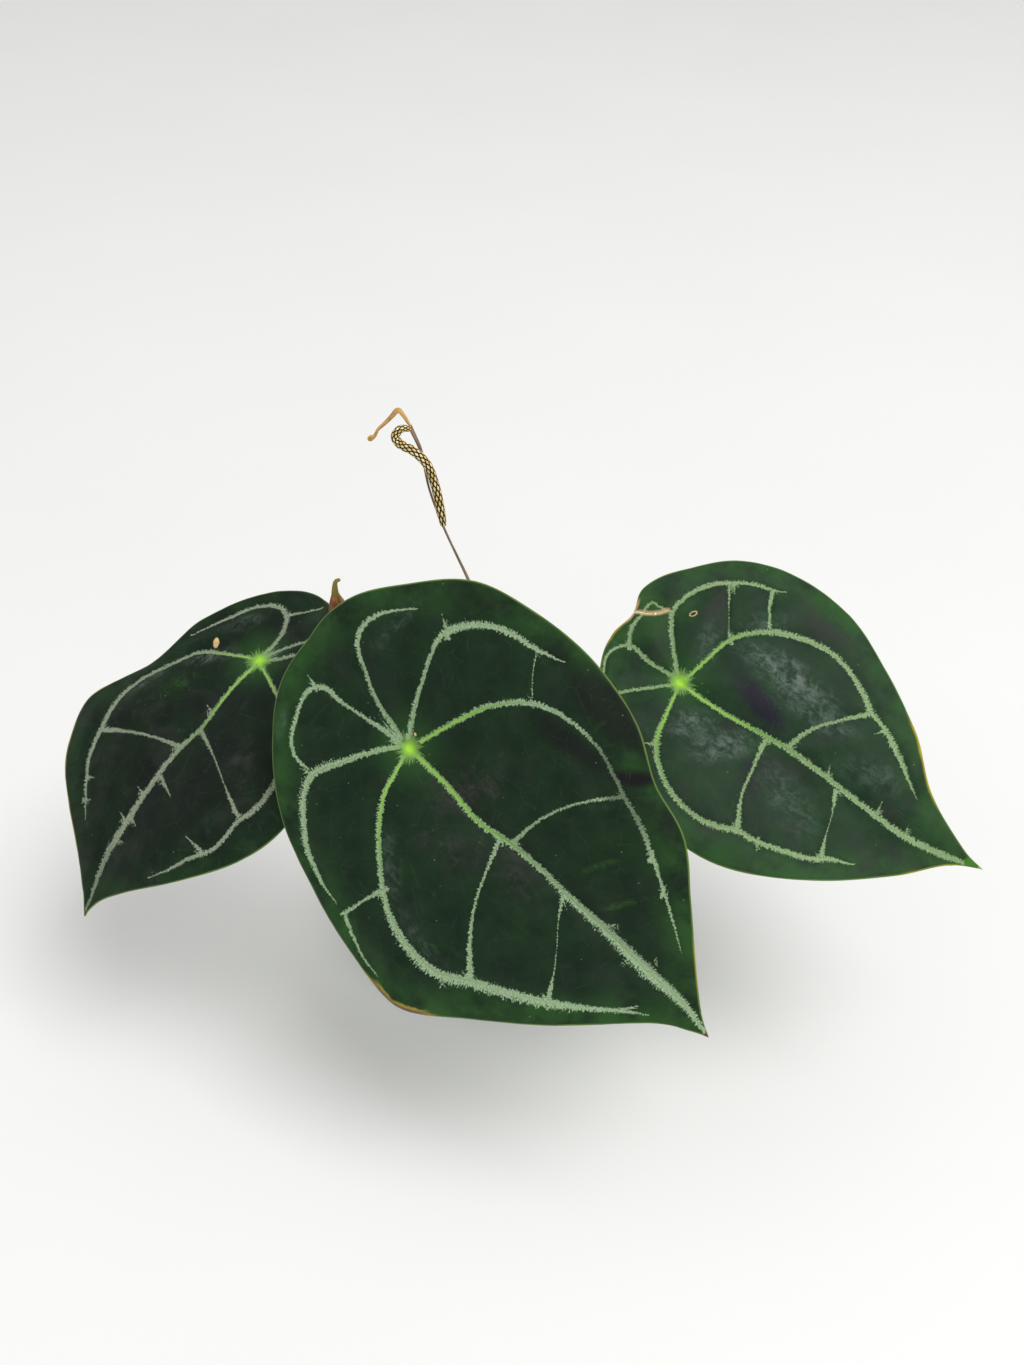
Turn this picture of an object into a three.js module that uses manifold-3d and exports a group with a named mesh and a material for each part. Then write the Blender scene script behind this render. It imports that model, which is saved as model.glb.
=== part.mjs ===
// Potted Anthurium forgetii: a short-stemmed aroid with three shield-shaped leaves,
// a spent inflorescence and a closed young one, standing in a plain nursery pot.
// Millimetres, +Z up. The origin is the middle of the pot's underside.
import * as THREE from "three";
import { mergeVertices } from "three/addons/utils/BufferGeometryUtils.js";
import Module from "manifold-3d";

const wasm = await Module();
wasm.setup();

// Driving dimensions
const gap = 0.3; // between pieces that touch

const pot = {
  height: 105,
  baseRadius: 46,
  mouthRadius: 60,
  rimRadius: 62.5,
  rimDepth: 14,
  rimStep: 2, // the rim band's inner step, above its outer one
  wall: 2,
  floor: 2.5,
  sides: 56,
  drainRadius: 4.5,
  drainRing: 30,
  drainCount: 6,
  soften: 0.6, // corner chamfers
};

const soil = {
  top: 93,
  chipCount: 46,
  chipSize: [13, 8, 4.5],
  chipTilt: 0.25, // radians each way
  nearest: 20, // chip centres keep this far from the stem's axis
  furthest: 49,
  seed: 7,
};

const stem = {
  // radius and height, from the buried end to the growing tip
  profile: [
    [0, 68], [7, 69], [9.5, 78], [10, 98], [10.6, 101], [9.4, 103], [9.6, 107], [8, 112],
    [4, 117], [0, 118],
  ],
  sides: 14,
  rootTurns: [22, 52, 86, 118, 302], // in the spaces between the stalks
  root: [[7, 0, 98], [11.4, 0, 96.8], [13.3, 0, 94.2]],
  rootRadii: [1.8, 1.6, 1.1],
};

// A blade is drawn in its own plane: each point is the distance along the midrib from the
// hub, where the stalk joins, and the distance to the leaf's left. The margin starts and
// ends at the tip. Bends and curls are degrees for each 100 mm, folds are degrees.
const blade = { thickness: 0.9, spokes: 56, rings: 8 };

const leaves = {
  front: {
    hub: [-48, -86, 226],
    heading: -41,
    pitch: 23,
    roll: 52,
    bendFront: 11,
    bendBack: 9,
    foldLeft: 15,
    foldRight: 11,
    curlLeft: -21,
    curlRight: -23,
    twist: -2,
    margin: [
      [194, -7], [182, 1], [163, 19], [142, 40], [122, 59], [97, 69], [72, 85], [38, 93],
      [4, 91], [-26, 82], [-50, 59], [-68, 36], [-76, 9], [-73, -21], [-55, -48], [-25, -72],
      [10, -86], [40, -94], [68, -98], [88, -90], [106, -75], [133, -52], [168, -19],
      [185, -10], [194, -7],
    ],
    waves: [
      { at: [110, 66], reach: 16, lift: -5 },
      { at: [84, 80], reach: 15, lift: 2.5 },
      { at: [82, -96], reach: 13, lift: 4 },
      { at: [-60, 48], reach: 20, lift: -2 },
    ],
    stalk: [[-3, -7, 100], [-13, -22, 138], [-28, -44, 182]],
  },
  right: {
    hub: [86, -23, 216],
    heading: -29,
    pitch: 20,
    roll: 26,
    bendFront: 2,
    bendBack: 9,
    foldLeft: 13,
    foldRight: 12,
    curlLeft: -19,
    curlRight: -20,
    twist: 0,
    margin: [
      [176, 7], [160, 8], [133, 25], [111, 47], [83, 66], [53, 81], [21, 84], [-10, 74],
      [-33, 51], [-43, 32], [-40, 17], [-43, 2], [-39, -15], [-26, -37], [-4, -57],
      [22, -70], [50, -73], [78, -67], [110, -49], [140, -24], [160, -2], [176, 7],
    ],
    waves: [
      { at: [60, -76], reach: 18, lift: -2.5 },
      { at: [125, 36], reach: 18, lift: 2 },
      { at: [-30, 60], reach: 16, lift: -2 },
    ],
    stalk: [[6, -1, 98], [26, 2, 135], [58, 0, 168]],
  },
  left: {
    hub: [-134.5, 6.5, 207.5],
    heading: -133,
    pitch: 21,
    roll: -2,
    bendFront: 18.5,
    bendBack: 9,
    foldLeft: 8,
    foldRight: 9,
    curlLeft: -24,
    curlRight: -24,
    twist: 0,
    margin: [
      [163, 1], [151, 7], [139, 19], [114, 48], [88, 71], [67, 80], [40, 80], [14, 70],
      [-14, 51], [-37, 28], [-49, 5], [-46, -15], [-27, -35], [0, -49], [29, -53],
      [50, -66], [70, -76], [89, -71], [108, -58], [133, -25], [152, -6], [163, 1],
    ],
    waves: [
      { at: [42, -64], reach: 17, lift: -2.5 },
      { at: [104, 64], reach: 18, lift: -2 },
    ],
    stalk: [[-6, 1, 98], [-38, 5, 133], [-88, 11, 160]],
  },
};

// Stalk radii, from the sheathed base to the swollen joint under the blade
const petiole = {
  radii: [5, 3.8, 2.7, 2.4, 2.3, 2.2, 2.2, 3, 2.8],
  sides: 8,
  steps: 24,
  squareOn: 16, // the last stretch, square to the blade
};

const oldFlower = {
  peduncle: [
    [-1, 5, 108], [-3, 15, 160], [-9, 18, 212], [-22, 18, 250], [-35, 18, 285],
    [-41, 18, 306], [-44, 18, 326], [-49, 18, 340],
  ],
  peduncleRadii: [1.7, 1.4, 1.1, 0.9, 0.9, 0.8, 0.9, 1.5],
  spadix: [
    [-48.8, 17.4, 339], [-53.5, 16, 339.2], [-56, 15.4, 335.6], [-54, 15, 332],
    [-47.6, 14.3, 328.5], [-41.4, 14.3, 321.3], [-37.5, 14.3, 308.5], [-35.5, 14.3, 295],
    [-34.3, 14.3, 287],
  ],
  spadixRadii: [1.3, 1.9, 2, 2, 2, 2, 2, 2, 2, 1.4],
  spadixSides: 10,
  spadixSteps: 46,
  tepalRelief: 0.12, // each tepal stands this share of the radius proud
  spathe: [
    [-48.8, 18.4, 339.6], [-51.5, 19, 344.4], [-54.4, 19.6, 347.4], [-57.4, 20, 344.3],
    [-61, 21, 340], [-64.5, 21, 336.7], [-66.6, 21, 333],
  ],
  ribbon: { width: 2.6, endShare: 0.45, cup: 2, thickness: 0.8 },
};

const youngFlower = {
  peduncle: [[-6, -1, 108], [-28, -8, 150], [-57, -15, 190], [-74, -20, 229]],
  peduncleRadii: [2.4, 1.9, 1.7, 1.9],
  bract: [
    [-80, -22, 246], [-84.5, -24, 260], [-85.6, -24, 268], [-85.7, -24, 275],
    [-84.9, -24, 278.8], [-83, -24, 279.7],
  ],
  bractRadii: [1.9, 2.1, 2.3, 2.5, 2.9, 3.4, 4.2, 4.8, 3.6, 1.8, 1.2, 0.7],
};

const cataphylls = [
  { turn: 60, height: 42, halfWidth: 7.2, lean: 9 },
  { turn: 121, height: 30, halfWidth: 4.4, lean: 12 },
  { turn: 299, height: 34, halfWidth: 3.8, lean: 10 },
];
const sheath = { footRadius: 11.6, footHeight: 99, thickness: 0.8, tipShare: 0.15, taper: 2.5 };

// Finishes
const finishes = {
  pot: { color: "#2b2d2e", roughness: 0.6 },
  soil: { color: "#4a3524", roughness: 0.95 },
  stem: { color: "#5f6a3a", roughness: 0.7 },
  blade: { color: "#1d3a20", roughness: 0.55 },
  petiole: { color: "#4d6b2f", roughness: 0.5 },
  cataphyll: { color: "#8a6a42", roughness: 0.85 },
  dryStalk: { color: "#5b4636", roughness: 0.8 },
  spadix: { color: "#9a8236", roughness: 0.7 },
  spathe: { color: "#a87d45", roughness: 0.8 },
  bract: { color: "#5f3f26", roughness: 0.75 },
};

const plant = new THREE.Group();
const upward = new THREE.Vector3(0, 0, 1);
const radians = THREE.MathUtils.degToRad;

function add(name, geometry, finish) {
  const mesh = new THREE.Mesh(geometry, new THREE.MeshStandardMaterial(finishes[finish]));
  mesh.name = name;
  plant.add(mesh);
  return mesh;
}

// Only positions, with shared corners merged and collapsed triangles dropped
function weld(geometry) {
  geometry.deleteAttribute("normal");
  geometry.deleteAttribute("uv");
  const merged = mergeVertices(geometry, 1e-4);
  const corners = merged.index.array;
  const kept = [];
  for (let i = 0; i < corners.length; i += 3) {
    const [a, b, c] = corners.slice(i, i + 3);
    if (a !== b && b !== c && c !== a) kept.push(a, b, c);
  }
  merged.setIndex(kept);
  return merged;
}

function toSolid(geometry) {
  const welded = weld(geometry);
  return new wasm.Manifold(
    new wasm.Mesh({
      numProp: 3,
      vertProperties: new Float32Array(welded.attributes.position.array),
      triVerts: new Uint32Array(welded.index.array),
    }),
  );
}

function toGeometry(solid) {
  const mesh = solid.getMesh();
  const geometry = new THREE.BufferGeometry();
  geometry.setAttribute("position", new THREE.BufferAttribute(mesh.vertProperties, 3));
  geometry.setIndex(new THREE.BufferAttribute(mesh.triVerts, 1));
  return geometry;
}

// Repeatable random numbers from 0 to 1
function seeded(seed) {
  let state = seed;
  return () => {
    state = (state * 1664525 + 1013904223) % 4294967296;
    return state / 4294967296;
  };
}

function points(list) {
  return list.map((p) => new THREE.Vector3(...p));
}

// The value at a share t of the way through an evenly spaced list
function along(list, t) {
  const place = Math.min(t, 0.999999) * (list.length - 1);
  const step = Math.floor(place);
  return THREE.MathUtils.lerp(list[step], list[step + 1], place - step);
}

// A closed tube on a smooth curve. relief(row, column) scales the radius.
function tube(path, radii, sides, steps, grow = 0, relief = () => 1) {
  const curve = new THREE.CatmullRomCurve3(points(path));
  const frames = curve.computeFrenetFrames(steps);
  const geometry = weld(new THREE.CylinderGeometry(1, 1, 1, sides, steps));
  const corners = geometry.attributes.position;
  for (let i = 0; i < corners.count; i++) {
    const [x, y, z] = [corners.getX(i), corners.getY(i), corners.getZ(i)];
    const row = Math.round((y + 0.5) * steps);
    const column = Math.round((Math.atan2(z, x) / (2 * Math.PI)) * sides);
    const edge = Math.hypot(x, z) > 0.5 && row > 0 && row < steps;
    const radius = (along(radii, row / steps) + grow) * (edge ? relief(row, column) : 1);
    const place = curve.getPointAt(row / steps);
    place.addScaledVector(frames.normals[row], x * radius);
    place.addScaledVector(frames.binormals[row], -z * radius);
    corners.setXYZ(i, ...place);
  }
  return geometry;
}

// A thin closed sheet: both faces of a flat mesh carried to surface(x, y), with its edge walled
function sheet(flat, surface, thickness) {
  const face = weld(flat);
  const count = face.attributes.position.count;
  const placed = [[], []];
  const small = 0.01;
  for (let i = 0; i < count; i++) {
    const [x, y] = [face.attributes.position.getX(i), face.attributes.position.getY(i)];
    const alongX = surface(x + small, y).sub(surface(x - small, y));
    const alongY = surface(x, y + small).sub(surface(x, y - small));
    const normal = alongX.cross(alongY).normalize();
    [0.5, -0.5].forEach((side, layer) => {
      placed[layer].push(...surface(x, y).addScaledVector(normal, side * thickness));
    });
  }
  const upper = [...face.index.array];
  const open = new Map();
  for (let i = 0; i < upper.length; i += 3) {
    for (const [from, to] of [[0, 1], [1, 2], [2, 0]]) {
      const [a, b] = [upper[i + from], upper[i + to]];
      if (!open.delete(`${b} ${a}`)) open.set(`${a} ${b}`, [a, b]);
    }
  }
  const index = [...upper];
  for (let i = 0; i < upper.length; i += 3) {
    index.push(upper[i] + count, upper[i + 2] + count, upper[i + 1] + count);
  }
  for (const [a, b] of open.values()) {
    index.push(b, a, a + count, b, a + count, b + count);
  }
  const geometry = new THREE.BufferGeometry();
  geometry.setAttribute("position", new THREE.Float32BufferAttribute(placed.flat(), 3));
  geometry.setIndex(index);
  return geometry;
}

// Leaf blades
function leafFrame(leaf) {
  const [h, p, r] = [radians(leaf.heading), radians(leaf.pitch), radians(leaf.roll)];
  const ahead = new THREE.Vector3(Math.cos(p), 0, -Math.sin(p)).applyAxisAngle(upward, h);
  const left = new THREE.Vector3(0, 1, 0).applyAxisAngle(upward, h).applyAxisAngle(ahead, r);
  const face = ahead.clone().cross(left);
  return new THREE.Matrix4().makeBasis(ahead, left, face).setPosition(...leaf.hub);
}

// Forward and sideways reach of an arc that starts at an angle and turns evenly
function arc(length, start, turn) {
  const rate = Math.abs(turn) < 1e-7 ? 1e-7 : turn;
  const end = start + rate * length;
  return [(Math.sin(end) - Math.sin(start)) / rate, (Math.cos(start) - Math.cos(end)) / rate];
}

function bladePoint(leaf, a, c) {
  const bend = radians(a < 0 ? leaf.bendBack : leaf.bendFront) / 100;
  const [reach, drop] = arc(Math.abs(a), 0, -bend);
  const slope = Math.sign(a) * -bend * Math.abs(a);
  const fold = radians(c < 0 ? leaf.foldRight : leaf.foldLeft);
  const curl = radians(c < 0 ? leaf.curlRight : leaf.curlLeft) / 100;
  const [width, rise] = arc(Math.abs(c), fold, curl);
  const twist = radians(leaf.twist / 100) * a;
  const across = Math.sign(c) * width;
  const y = across * Math.cos(twist) - rise * Math.sin(twist);
  let z = across * Math.sin(twist) + rise * Math.cos(twist);
  for (const wave of leaf.waves) {
    const away = Math.hypot(a - wave.at[0], c - wave.at[1]) / wave.reach;
    z += wave.lift * Math.exp(-away * away);
  }
  const x = Math.sign(a) * reach - z * Math.sin(slope);
  return new THREE.Vector3(x, y, drop + z * Math.cos(slope));
}

function bladeGeometry(leaf) {
  const margin = new THREE.SplineCurve(leaf.margin.map((p) => new THREE.Vector2(...p)));
  const frame = leafFrame(leaf);
  const flat = new THREE.RingGeometry(0, 1, blade.spokes, blade.rings);
  return sheet(
    flat,
    (x, y) => {
      const turn = Math.atan2(y, x) / (2 * Math.PI);
      const edge = margin.getPointAt(turn < 0 ? turn + 1 : turn);
      const share = Math.hypot(x, y);
      return bladePoint(leaf, edge.x * share, edge.y * share).applyMatrix4(frame);
    },
    blade.thickness,
  );
}

// Pot: a tapered wall with a rim band, and holes through its floor
function potGeometry() {
  const rimFoot = pot.height - pot.rimDepth;
  const profile = [
    [0, 0], [pot.baseRadius - 2 * pot.soften, 0], [pot.baseRadius, 2 * pot.soften],
    [pot.mouthRadius, rimFoot], [pot.rimRadius - pot.soften, rimFoot],
    [pot.rimRadius, rimFoot + pot.soften], [pot.rimRadius, pot.height - pot.soften],
    [pot.rimRadius - pot.soften, pot.height], [pot.rimRadius - pot.wall, pot.height],
    [pot.rimRadius - pot.wall, rimFoot + pot.rimStep], [pot.mouthRadius - pot.wall, rimFoot],
    [pot.baseRadius - pot.wall, pot.floor], [0, pot.floor],
  ];
  let shell = toSolid(lathe(profile, pot.sides));
  for (let i = 0; i < pot.drainCount; i++) {
    const drain = new THREE.CylinderGeometry(pot.drainRadius, pot.drainRadius, 4 * pot.floor, 16);
    drain.rotateX(Math.PI / 2);
    drain.translate(pot.drainRing, 0, 0);
    drain.rotateZ((i / pot.drainCount) * 2 * Math.PI);
    shell = shell.subtract(toSolid(drain));
  }
  return toGeometry(shell);
}

// A closed solid of revolution about +Z from radius and height pairs
function lathe(profile, sides) {
  const outline = profile.map(([radius, height]) => new THREE.Vector2(radius, height));
  return new THREE.LatheGeometry(outline, sides).rotateX(Math.PI / 2);
}

// Stem: a short ringed crown with stubs of roots
function stemSolid(grow = 0) {
  const grown = stem.profile.map(([radius, height], i) => {
    const end = i === 0 ? -grow : i === stem.profile.length - 1 ? grow : 0;
    return [radius === 0 ? 0 : radius + grow, height + end];
  });
  return toSolid(lathe(grown, stem.sides));
}

function stemWithRoots() {
  let body = stemSolid();
  for (const turn of stem.rootTurns) {
    const root = tube(stem.root, stem.rootRadii, 6, 5);
    root.rotateZ(radians(turn));
    body = body.add(toSolid(root));
  }
  return toGeometry(body);
}

// Soil: it fills the pot, has a plain hole for the stem, and bark chips lie bedded in its top
function soilGeometry() {
  const rimFoot = pot.height - pot.rimDepth;
  const inner = pot.wall + 1.3 * gap;
  const profile = [
    [0, pot.floor + gap], [pot.baseRadius - inner, pot.floor + gap],
    [pot.mouthRadius - inner, rimFoot], [pot.mouthRadius - inner, soil.top], [0, soil.top],
  ];
  let body = toSolid(lathe(profile, pot.sides));
  const random = seeded(soil.seed);
  for (let i = 0; i < soil.chipCount; i++) {
    const size = soil.chipSize.map((side) => side * (0.6 + 0.5 * random()));
    const chip = new THREE.BoxGeometry(...size);
    chip.rotateX(soil.chipTilt * (2 * random() - 1));
    chip.rotateY(soil.chipTilt * (2 * random() - 1));
    chip.rotateZ(2 * Math.PI * random());
    const away = THREE.MathUtils.lerp(soil.nearest, soil.furthest, Math.sqrt(random()));
    const turn = 2 * Math.PI * random();
    chip.translate(away * Math.cos(turn), away * Math.sin(turn), soil.top + 0.5 * random());
    body = body.add(toSolid(chip));
  }
  return toGeometry(largest(body.subtract(stemSolid(gap))));
}

// The largest body, without loose scraps, and with its sealed pockets filled
function largest(solid) {
  return solid.decompose().sort((a, b) => b.volume() - a.volume())[0];
}

// What is left of a piece outside its neighbours, which are given a gap larger than they are
function seat(geometry, ...neighbours) {
  let rest = toSolid(geometry);
  for (const neighbour of neighbours) rest = rest.subtract(neighbour);
  return toGeometry(largest(rest));
}

// Petiole: from the crown to just under the hub, arriving square to the blade
function petioleGeometry(leaf) {
  const face = new THREE.Vector3().setFromMatrixColumn(leafFrame(leaf), 2);
  const hub = new THREE.Vector3(...leaf.hub);
  const under = blade.thickness / 2 + gap;
  const below = (depth) => hub.clone().addScaledVector(face, -depth).toArray();
  const path = [...leaf.stalk, below(petiole.squareOn), below(under)];
  return tube(path, petiole.radii, petiole.sides, petiole.steps);
}

// Cataphyll: a dry papery sheath that clasps the crown and leans away to a blunt point
function cataphyllGeometry({ turn, height, halfWidth, lean }) {
  return sheet(
    new THREE.PlaneGeometry(1, 1, 6, 8),
    (x, y) => {
      const rise = THREE.MathUtils.clamp(y + 0.5, 0, 1);
      const width = halfWidth * (1 - (1 - sheath.tipShare) * rise ** sheath.taper);
      const radius = sheath.footRadius + lean * rise ** 2;
      const angle = radians(turn) - (2 * x * width) / sheath.footRadius;
      const place = new THREE.Vector3(radius, 0, sheath.footHeight + height * rise);
      return place.applyAxisAngle(upward, angle);
    },
    sheath.thickness,
  );
}

// Spathe: a dried ribbon, cupped along its length and drawn in at both ends
function ribbonGeometry(path, { width, endShare, cup, thickness }) {
  const curve = new THREE.CatmullRomCurve3(points(path));
  const front = new THREE.Vector3(0.2, -1, 0.35).normalize();
  return sheet(
    new THREE.PlaneGeometry(1, 1, 4, 20),
    (x, y) => {
      const t = THREE.MathUtils.clamp(y + 0.5, 0, 1);
      const side = curve.getTangentAt(t).cross(front).normalize();
      const spread = width * THREE.MathUtils.lerp(endShare, 1, Math.sin(Math.PI * t));
      const place = curve.getPointAt(t).addScaledVector(side, x * spread);
      return place.addScaledVector(front, cup * (x * x - 0.25));
    },
    thickness,
  );
}

add("pot", potGeometry(), "pot");
add("soil", soilGeometry(), "soil");
add("stem", stemWithRoots(), "stem");

const crown = stemSolid(gap);
for (const [name, leaf] of Object.entries(leaves)) {
  add(`petiole_${name}`, seat(petioleGeometry(leaf), crown), "petiole");
  add(`blade_${name}`, bladeGeometry(leaf), "blade");
}

cataphylls.forEach((cataphyll, i) => {
  add(`cataphyll_${i + 1}`, cataphyllGeometry(cataphyll), "cataphyll");
});

// The spent inflorescence: a dry stalk, the spathe and the bent spadix at its node
const dry = oldFlower;
const dryStalk = (grow) => tube(dry.peduncle, dry.peduncleRadii, 8, 36, grow);
const tepals = (row, column) => 1 + dry.tepalRelief * ((row + column) % 2 === 0 ? 1 : -1);
const spadix = (grow) =>
  tube(dry.spadix, dry.spadixRadii, dry.spadixSides, dry.spadixSteps, grow, tepals);
add("peduncle_old", seat(dryStalk(0), crown), "dryStalk");
add("spadix_old", seat(spadix(0), toSolid(dryStalk(gap))), "spadix");
add(
  "spathe_old",
  seat(
    ribbonGeometry(dry.spathe, dry.ribbon),
    toSolid(dryStalk(gap)),
    toSolid(spadix(gap)),
  ),
  "spathe",
);

// The young inflorescence: a stalk and the closed bract that wraps its spadix
const young = youngFlower;
const youngCurve = new THREE.CatmullRomCurve3(points(young.peduncle));
const bractFoot = youngCurve.getPoint(1).addScaledVector(youngCurve.getTangent(1), gap);
add("peduncle_young", seat(tube(young.peduncle, young.peduncleRadii, 8, 20), crown), "petiole");
add("spathe_young", tube([bractFoot.toArray(), ...young.bract], young.bractRadii, 10, 18), "bract");

export default plant;
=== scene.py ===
import math
import random

import bmesh
import bpy
import numpy as np
from mathutils import Matrix, Vector, noise


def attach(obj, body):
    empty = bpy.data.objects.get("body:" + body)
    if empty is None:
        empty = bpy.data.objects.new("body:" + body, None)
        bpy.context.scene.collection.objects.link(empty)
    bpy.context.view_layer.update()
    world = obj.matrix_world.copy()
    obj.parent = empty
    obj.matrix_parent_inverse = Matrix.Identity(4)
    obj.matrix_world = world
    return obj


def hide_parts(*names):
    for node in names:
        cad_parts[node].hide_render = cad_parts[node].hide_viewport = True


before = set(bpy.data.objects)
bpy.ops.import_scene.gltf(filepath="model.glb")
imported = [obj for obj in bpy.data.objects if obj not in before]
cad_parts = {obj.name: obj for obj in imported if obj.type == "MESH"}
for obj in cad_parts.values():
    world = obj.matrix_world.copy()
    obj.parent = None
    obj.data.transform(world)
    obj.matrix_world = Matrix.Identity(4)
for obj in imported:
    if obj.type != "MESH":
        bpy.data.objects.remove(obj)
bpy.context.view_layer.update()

mm = 0.001
fullTurn = 2 * math.pi
print("frame loaded:", len(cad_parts), "nodes")


def linked(name, data):  # a new object in the scene
    made = bpy.data.objects.new(name, data)
    bpy.context.scene.collection.objects.link(made)
    return made


# Camera: above and in front of the plant, looking down on the blades
view = {"place": (0, -0.5674, 0.6413), "tiltDegrees": 52, "lensMm": 35.6, "sensorMm": 36}

cameraData = bpy.data.cameras.new("camera")
cameraData.lens = view["lensMm"]
cameraData.sensor_width = view["sensorMm"]
camera = linked("camera", cameraData)
camera.location = view["place"]
camera.rotation_euler = (math.radians(view["tiltDegrees"]), 0, 0)
bpy.context.scene.camera = camera


def hue(red, green, blue):  # a screen colour, 0 to 255, as linear values
    return (*(((c / 255 + 0.055) / 1.055) ** 2.4 for c in (red, green, blue)), 1)


# One socket of a material: sums on it become Math nodes
class Wire:
    def __init__(self, paint, socket):
        self.paint = paint
        self.socket = socket

    def other(self, name):  # another output of the same node
        return Wire(self.paint, self.socket.node.outputs[name])

    def math(self, operation, *values):
        return self.paint.node("Math", {"operation": operation}, dict(enumerate(values)))

    def __add__(self, value):
        return self.math("ADD", self, value)

    def __radd__(self, value):
        return self.math("ADD", value, self)

    def __sub__(self, value):
        return self.math("SUBTRACT", self, value)

    def __rsub__(self, value):
        return self.math("SUBTRACT", value, self)

    def __mul__(self, value):
        return self.math("MULTIPLY", self, value)

    def __rmul__(self, value):
        return self.math("MULTIPLY", value, self)

    def __abs__(self):
        return self.math("ABSOLUTE", self)

    def atLeast(self, value):
        return self.math("MAXIMUM", self, value)

    def between(self, low, high):  # a soft step from 0 at low to 1 at high
        settings = {"interpolation_type": "SMOOTHSTEP"}
        return self.paint.node("MapRange", settings, {0: self, 1: low, 2: high})


finishSockets = {
    "normal": "Normal",
    "colour": "Base Color",
    "roughness": "Roughness",
    "specular": "Specular IOR Level",
    "sheen": "Sheen Weight",
    "sheenRoughness": "Sheen Roughness",
    "sheenTint": "Sheen Tint",
}


# A material and its nodes
class Paint:
    def __init__(self, name, swatch):
        self.material = bpy.data.materials.new(name)
        self.material.use_nodes = True
        self.material.diffuse_color = swatch
        self.tree = self.material.node_tree
        self.tree.nodes.clear()

    def node(self, kind, settings, inputs, output=0):
        node = self.tree.nodes.new("ShaderNode" + kind)
        for name, value in settings.items():
            if name == "stops":
                self.setStops(node.color_ramp, value)
            else:
                setattr(node, name, value)
        for name, value in inputs.items():
            if isinstance(value, Wire):
                self.tree.links.new(value.socket, node.inputs[name])
            else:
                node.inputs[name].default_value = value
        return Wire(self, node.outputs[output])

    def setStops(self, ramp, stops):
        while len(ramp.elements) < len(stops):
            ramp.elements.new(0.5)
        for element, (place, colour) in zip(ramp.elements, stops):
            element.position = place
            element.color = colour

    def objectPlace(self):
        return self.node("TexCoord", {}, {}, "Object")

    def attribute(self, name):
        return self.node("Attribute", {"attribute_name": name}, {}, "Vector")

    def parts(self, vector):
        x = self.node("SeparateXYZ", {}, {0: vector})
        return x, x.other("Y"), x.other("Z")

    def vector(self, x, y, z=0.0):
        return self.node("CombineXYZ", {}, {0: x, 1: y, 2: z})

    def stretch(self, vector, x, y, z):
        return self.node("VectorMath", {"operation": "MULTIPLY"}, {0: vector, 1: (x, y, z)})

    def length(self, vector):
        return self.node("VectorMath", {"operation": "LENGTH"}, {0: vector}, "Value")

    def noise(self, vector, scale, detail=2.0, roughness=0.5, distortion=0.0):
        values = {"Vector": vector, "Scale": scale, "Detail": detail, "Roughness": roughness}
        return self.node("TexNoise", {}, {**values, "Distortion": distortion})

    def cells(self, vector, scale, feature="F1"):
        return self.node("TexVoronoi", {"feature": feature}, {"Vector": vector, "Scale": scale})

    def ramp(self, value, *stops):
        return self.node("ValToRGB", {"stops": stops}, {0: value})

    def mix(self, share, under, over, blend="MIX"):
        settings = {"data_type": "RGBA", "blend_type": blend}
        return self.node("Mix", settings, {0: share, 6: under, 7: over}, 2)

    def bump(self, height, strength, distance):
        values = {"Height": height, "Strength": strength, "Distance": distance}
        return self.node("Bump", {}, values)

    def finish(self, **sockets):
        values = {finishSockets[name]: value for name, value in sockets.items()}
        surface = self.node("BsdfPrincipled", {}, values)
        output = self.tree.nodes.new("ShaderNodeOutputMaterial")
        self.tree.links.new(surface.socket, output.inputs["Surface"])
        return self


# Curves and tubes, in millimetres
def smoothThrough(path, evenly=False, each=16):
    # A smooth line through given points, as many close points. Ends are free unless even.
    corners = np.array(path, float)
    if evenly:
        first, last = corners[0], corners[-1]
    else:
        first, last = 2 * corners[0] - corners[1], 2 * corners[-1] - corners[-2]
    padded = np.vstack([first, corners, last])
    line = []
    for a, b, c, d in zip(padded, padded[1:], padded[2:], padded[3:]):
        power = 0 if evenly else 0.5
        before, across, after = (np.linalg.norm(q - p) ** power for p, q in ((a, b), (b, c), (c, d)))
        leave = (b - a) / before - (c - a) / (before + across) + (c - b) / across
        arrive = (c - b) / across - (d - b) / (across + after) + (d - c) / after
        leave, arrive = leave * across, arrive * across
        for t in np.arange(each) / each:
            square = 3 * (c - b) - 2 * leave - arrive
            cube = 2 * (b - c) + leave + arrive
            line.append(b + leave * t + square * t * t + cube * t**3)
    return np.array([*line, corners[-1]])


def lengthsAlong(line):
    return np.concatenate([[0], np.cumsum(np.linalg.norm(np.diff(line, axis=0), axis=1))])


def spread(line, shares):  # the places at shares of a line's length
    lengths = lengthsAlong(line)
    return np.stack([np.interp(shares * lengths[-1], lengths, side) for side in line.T], axis=-1)


def along(values, share):
    return np.interp(share, np.linspace(0, 1, len(values)), values)


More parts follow.
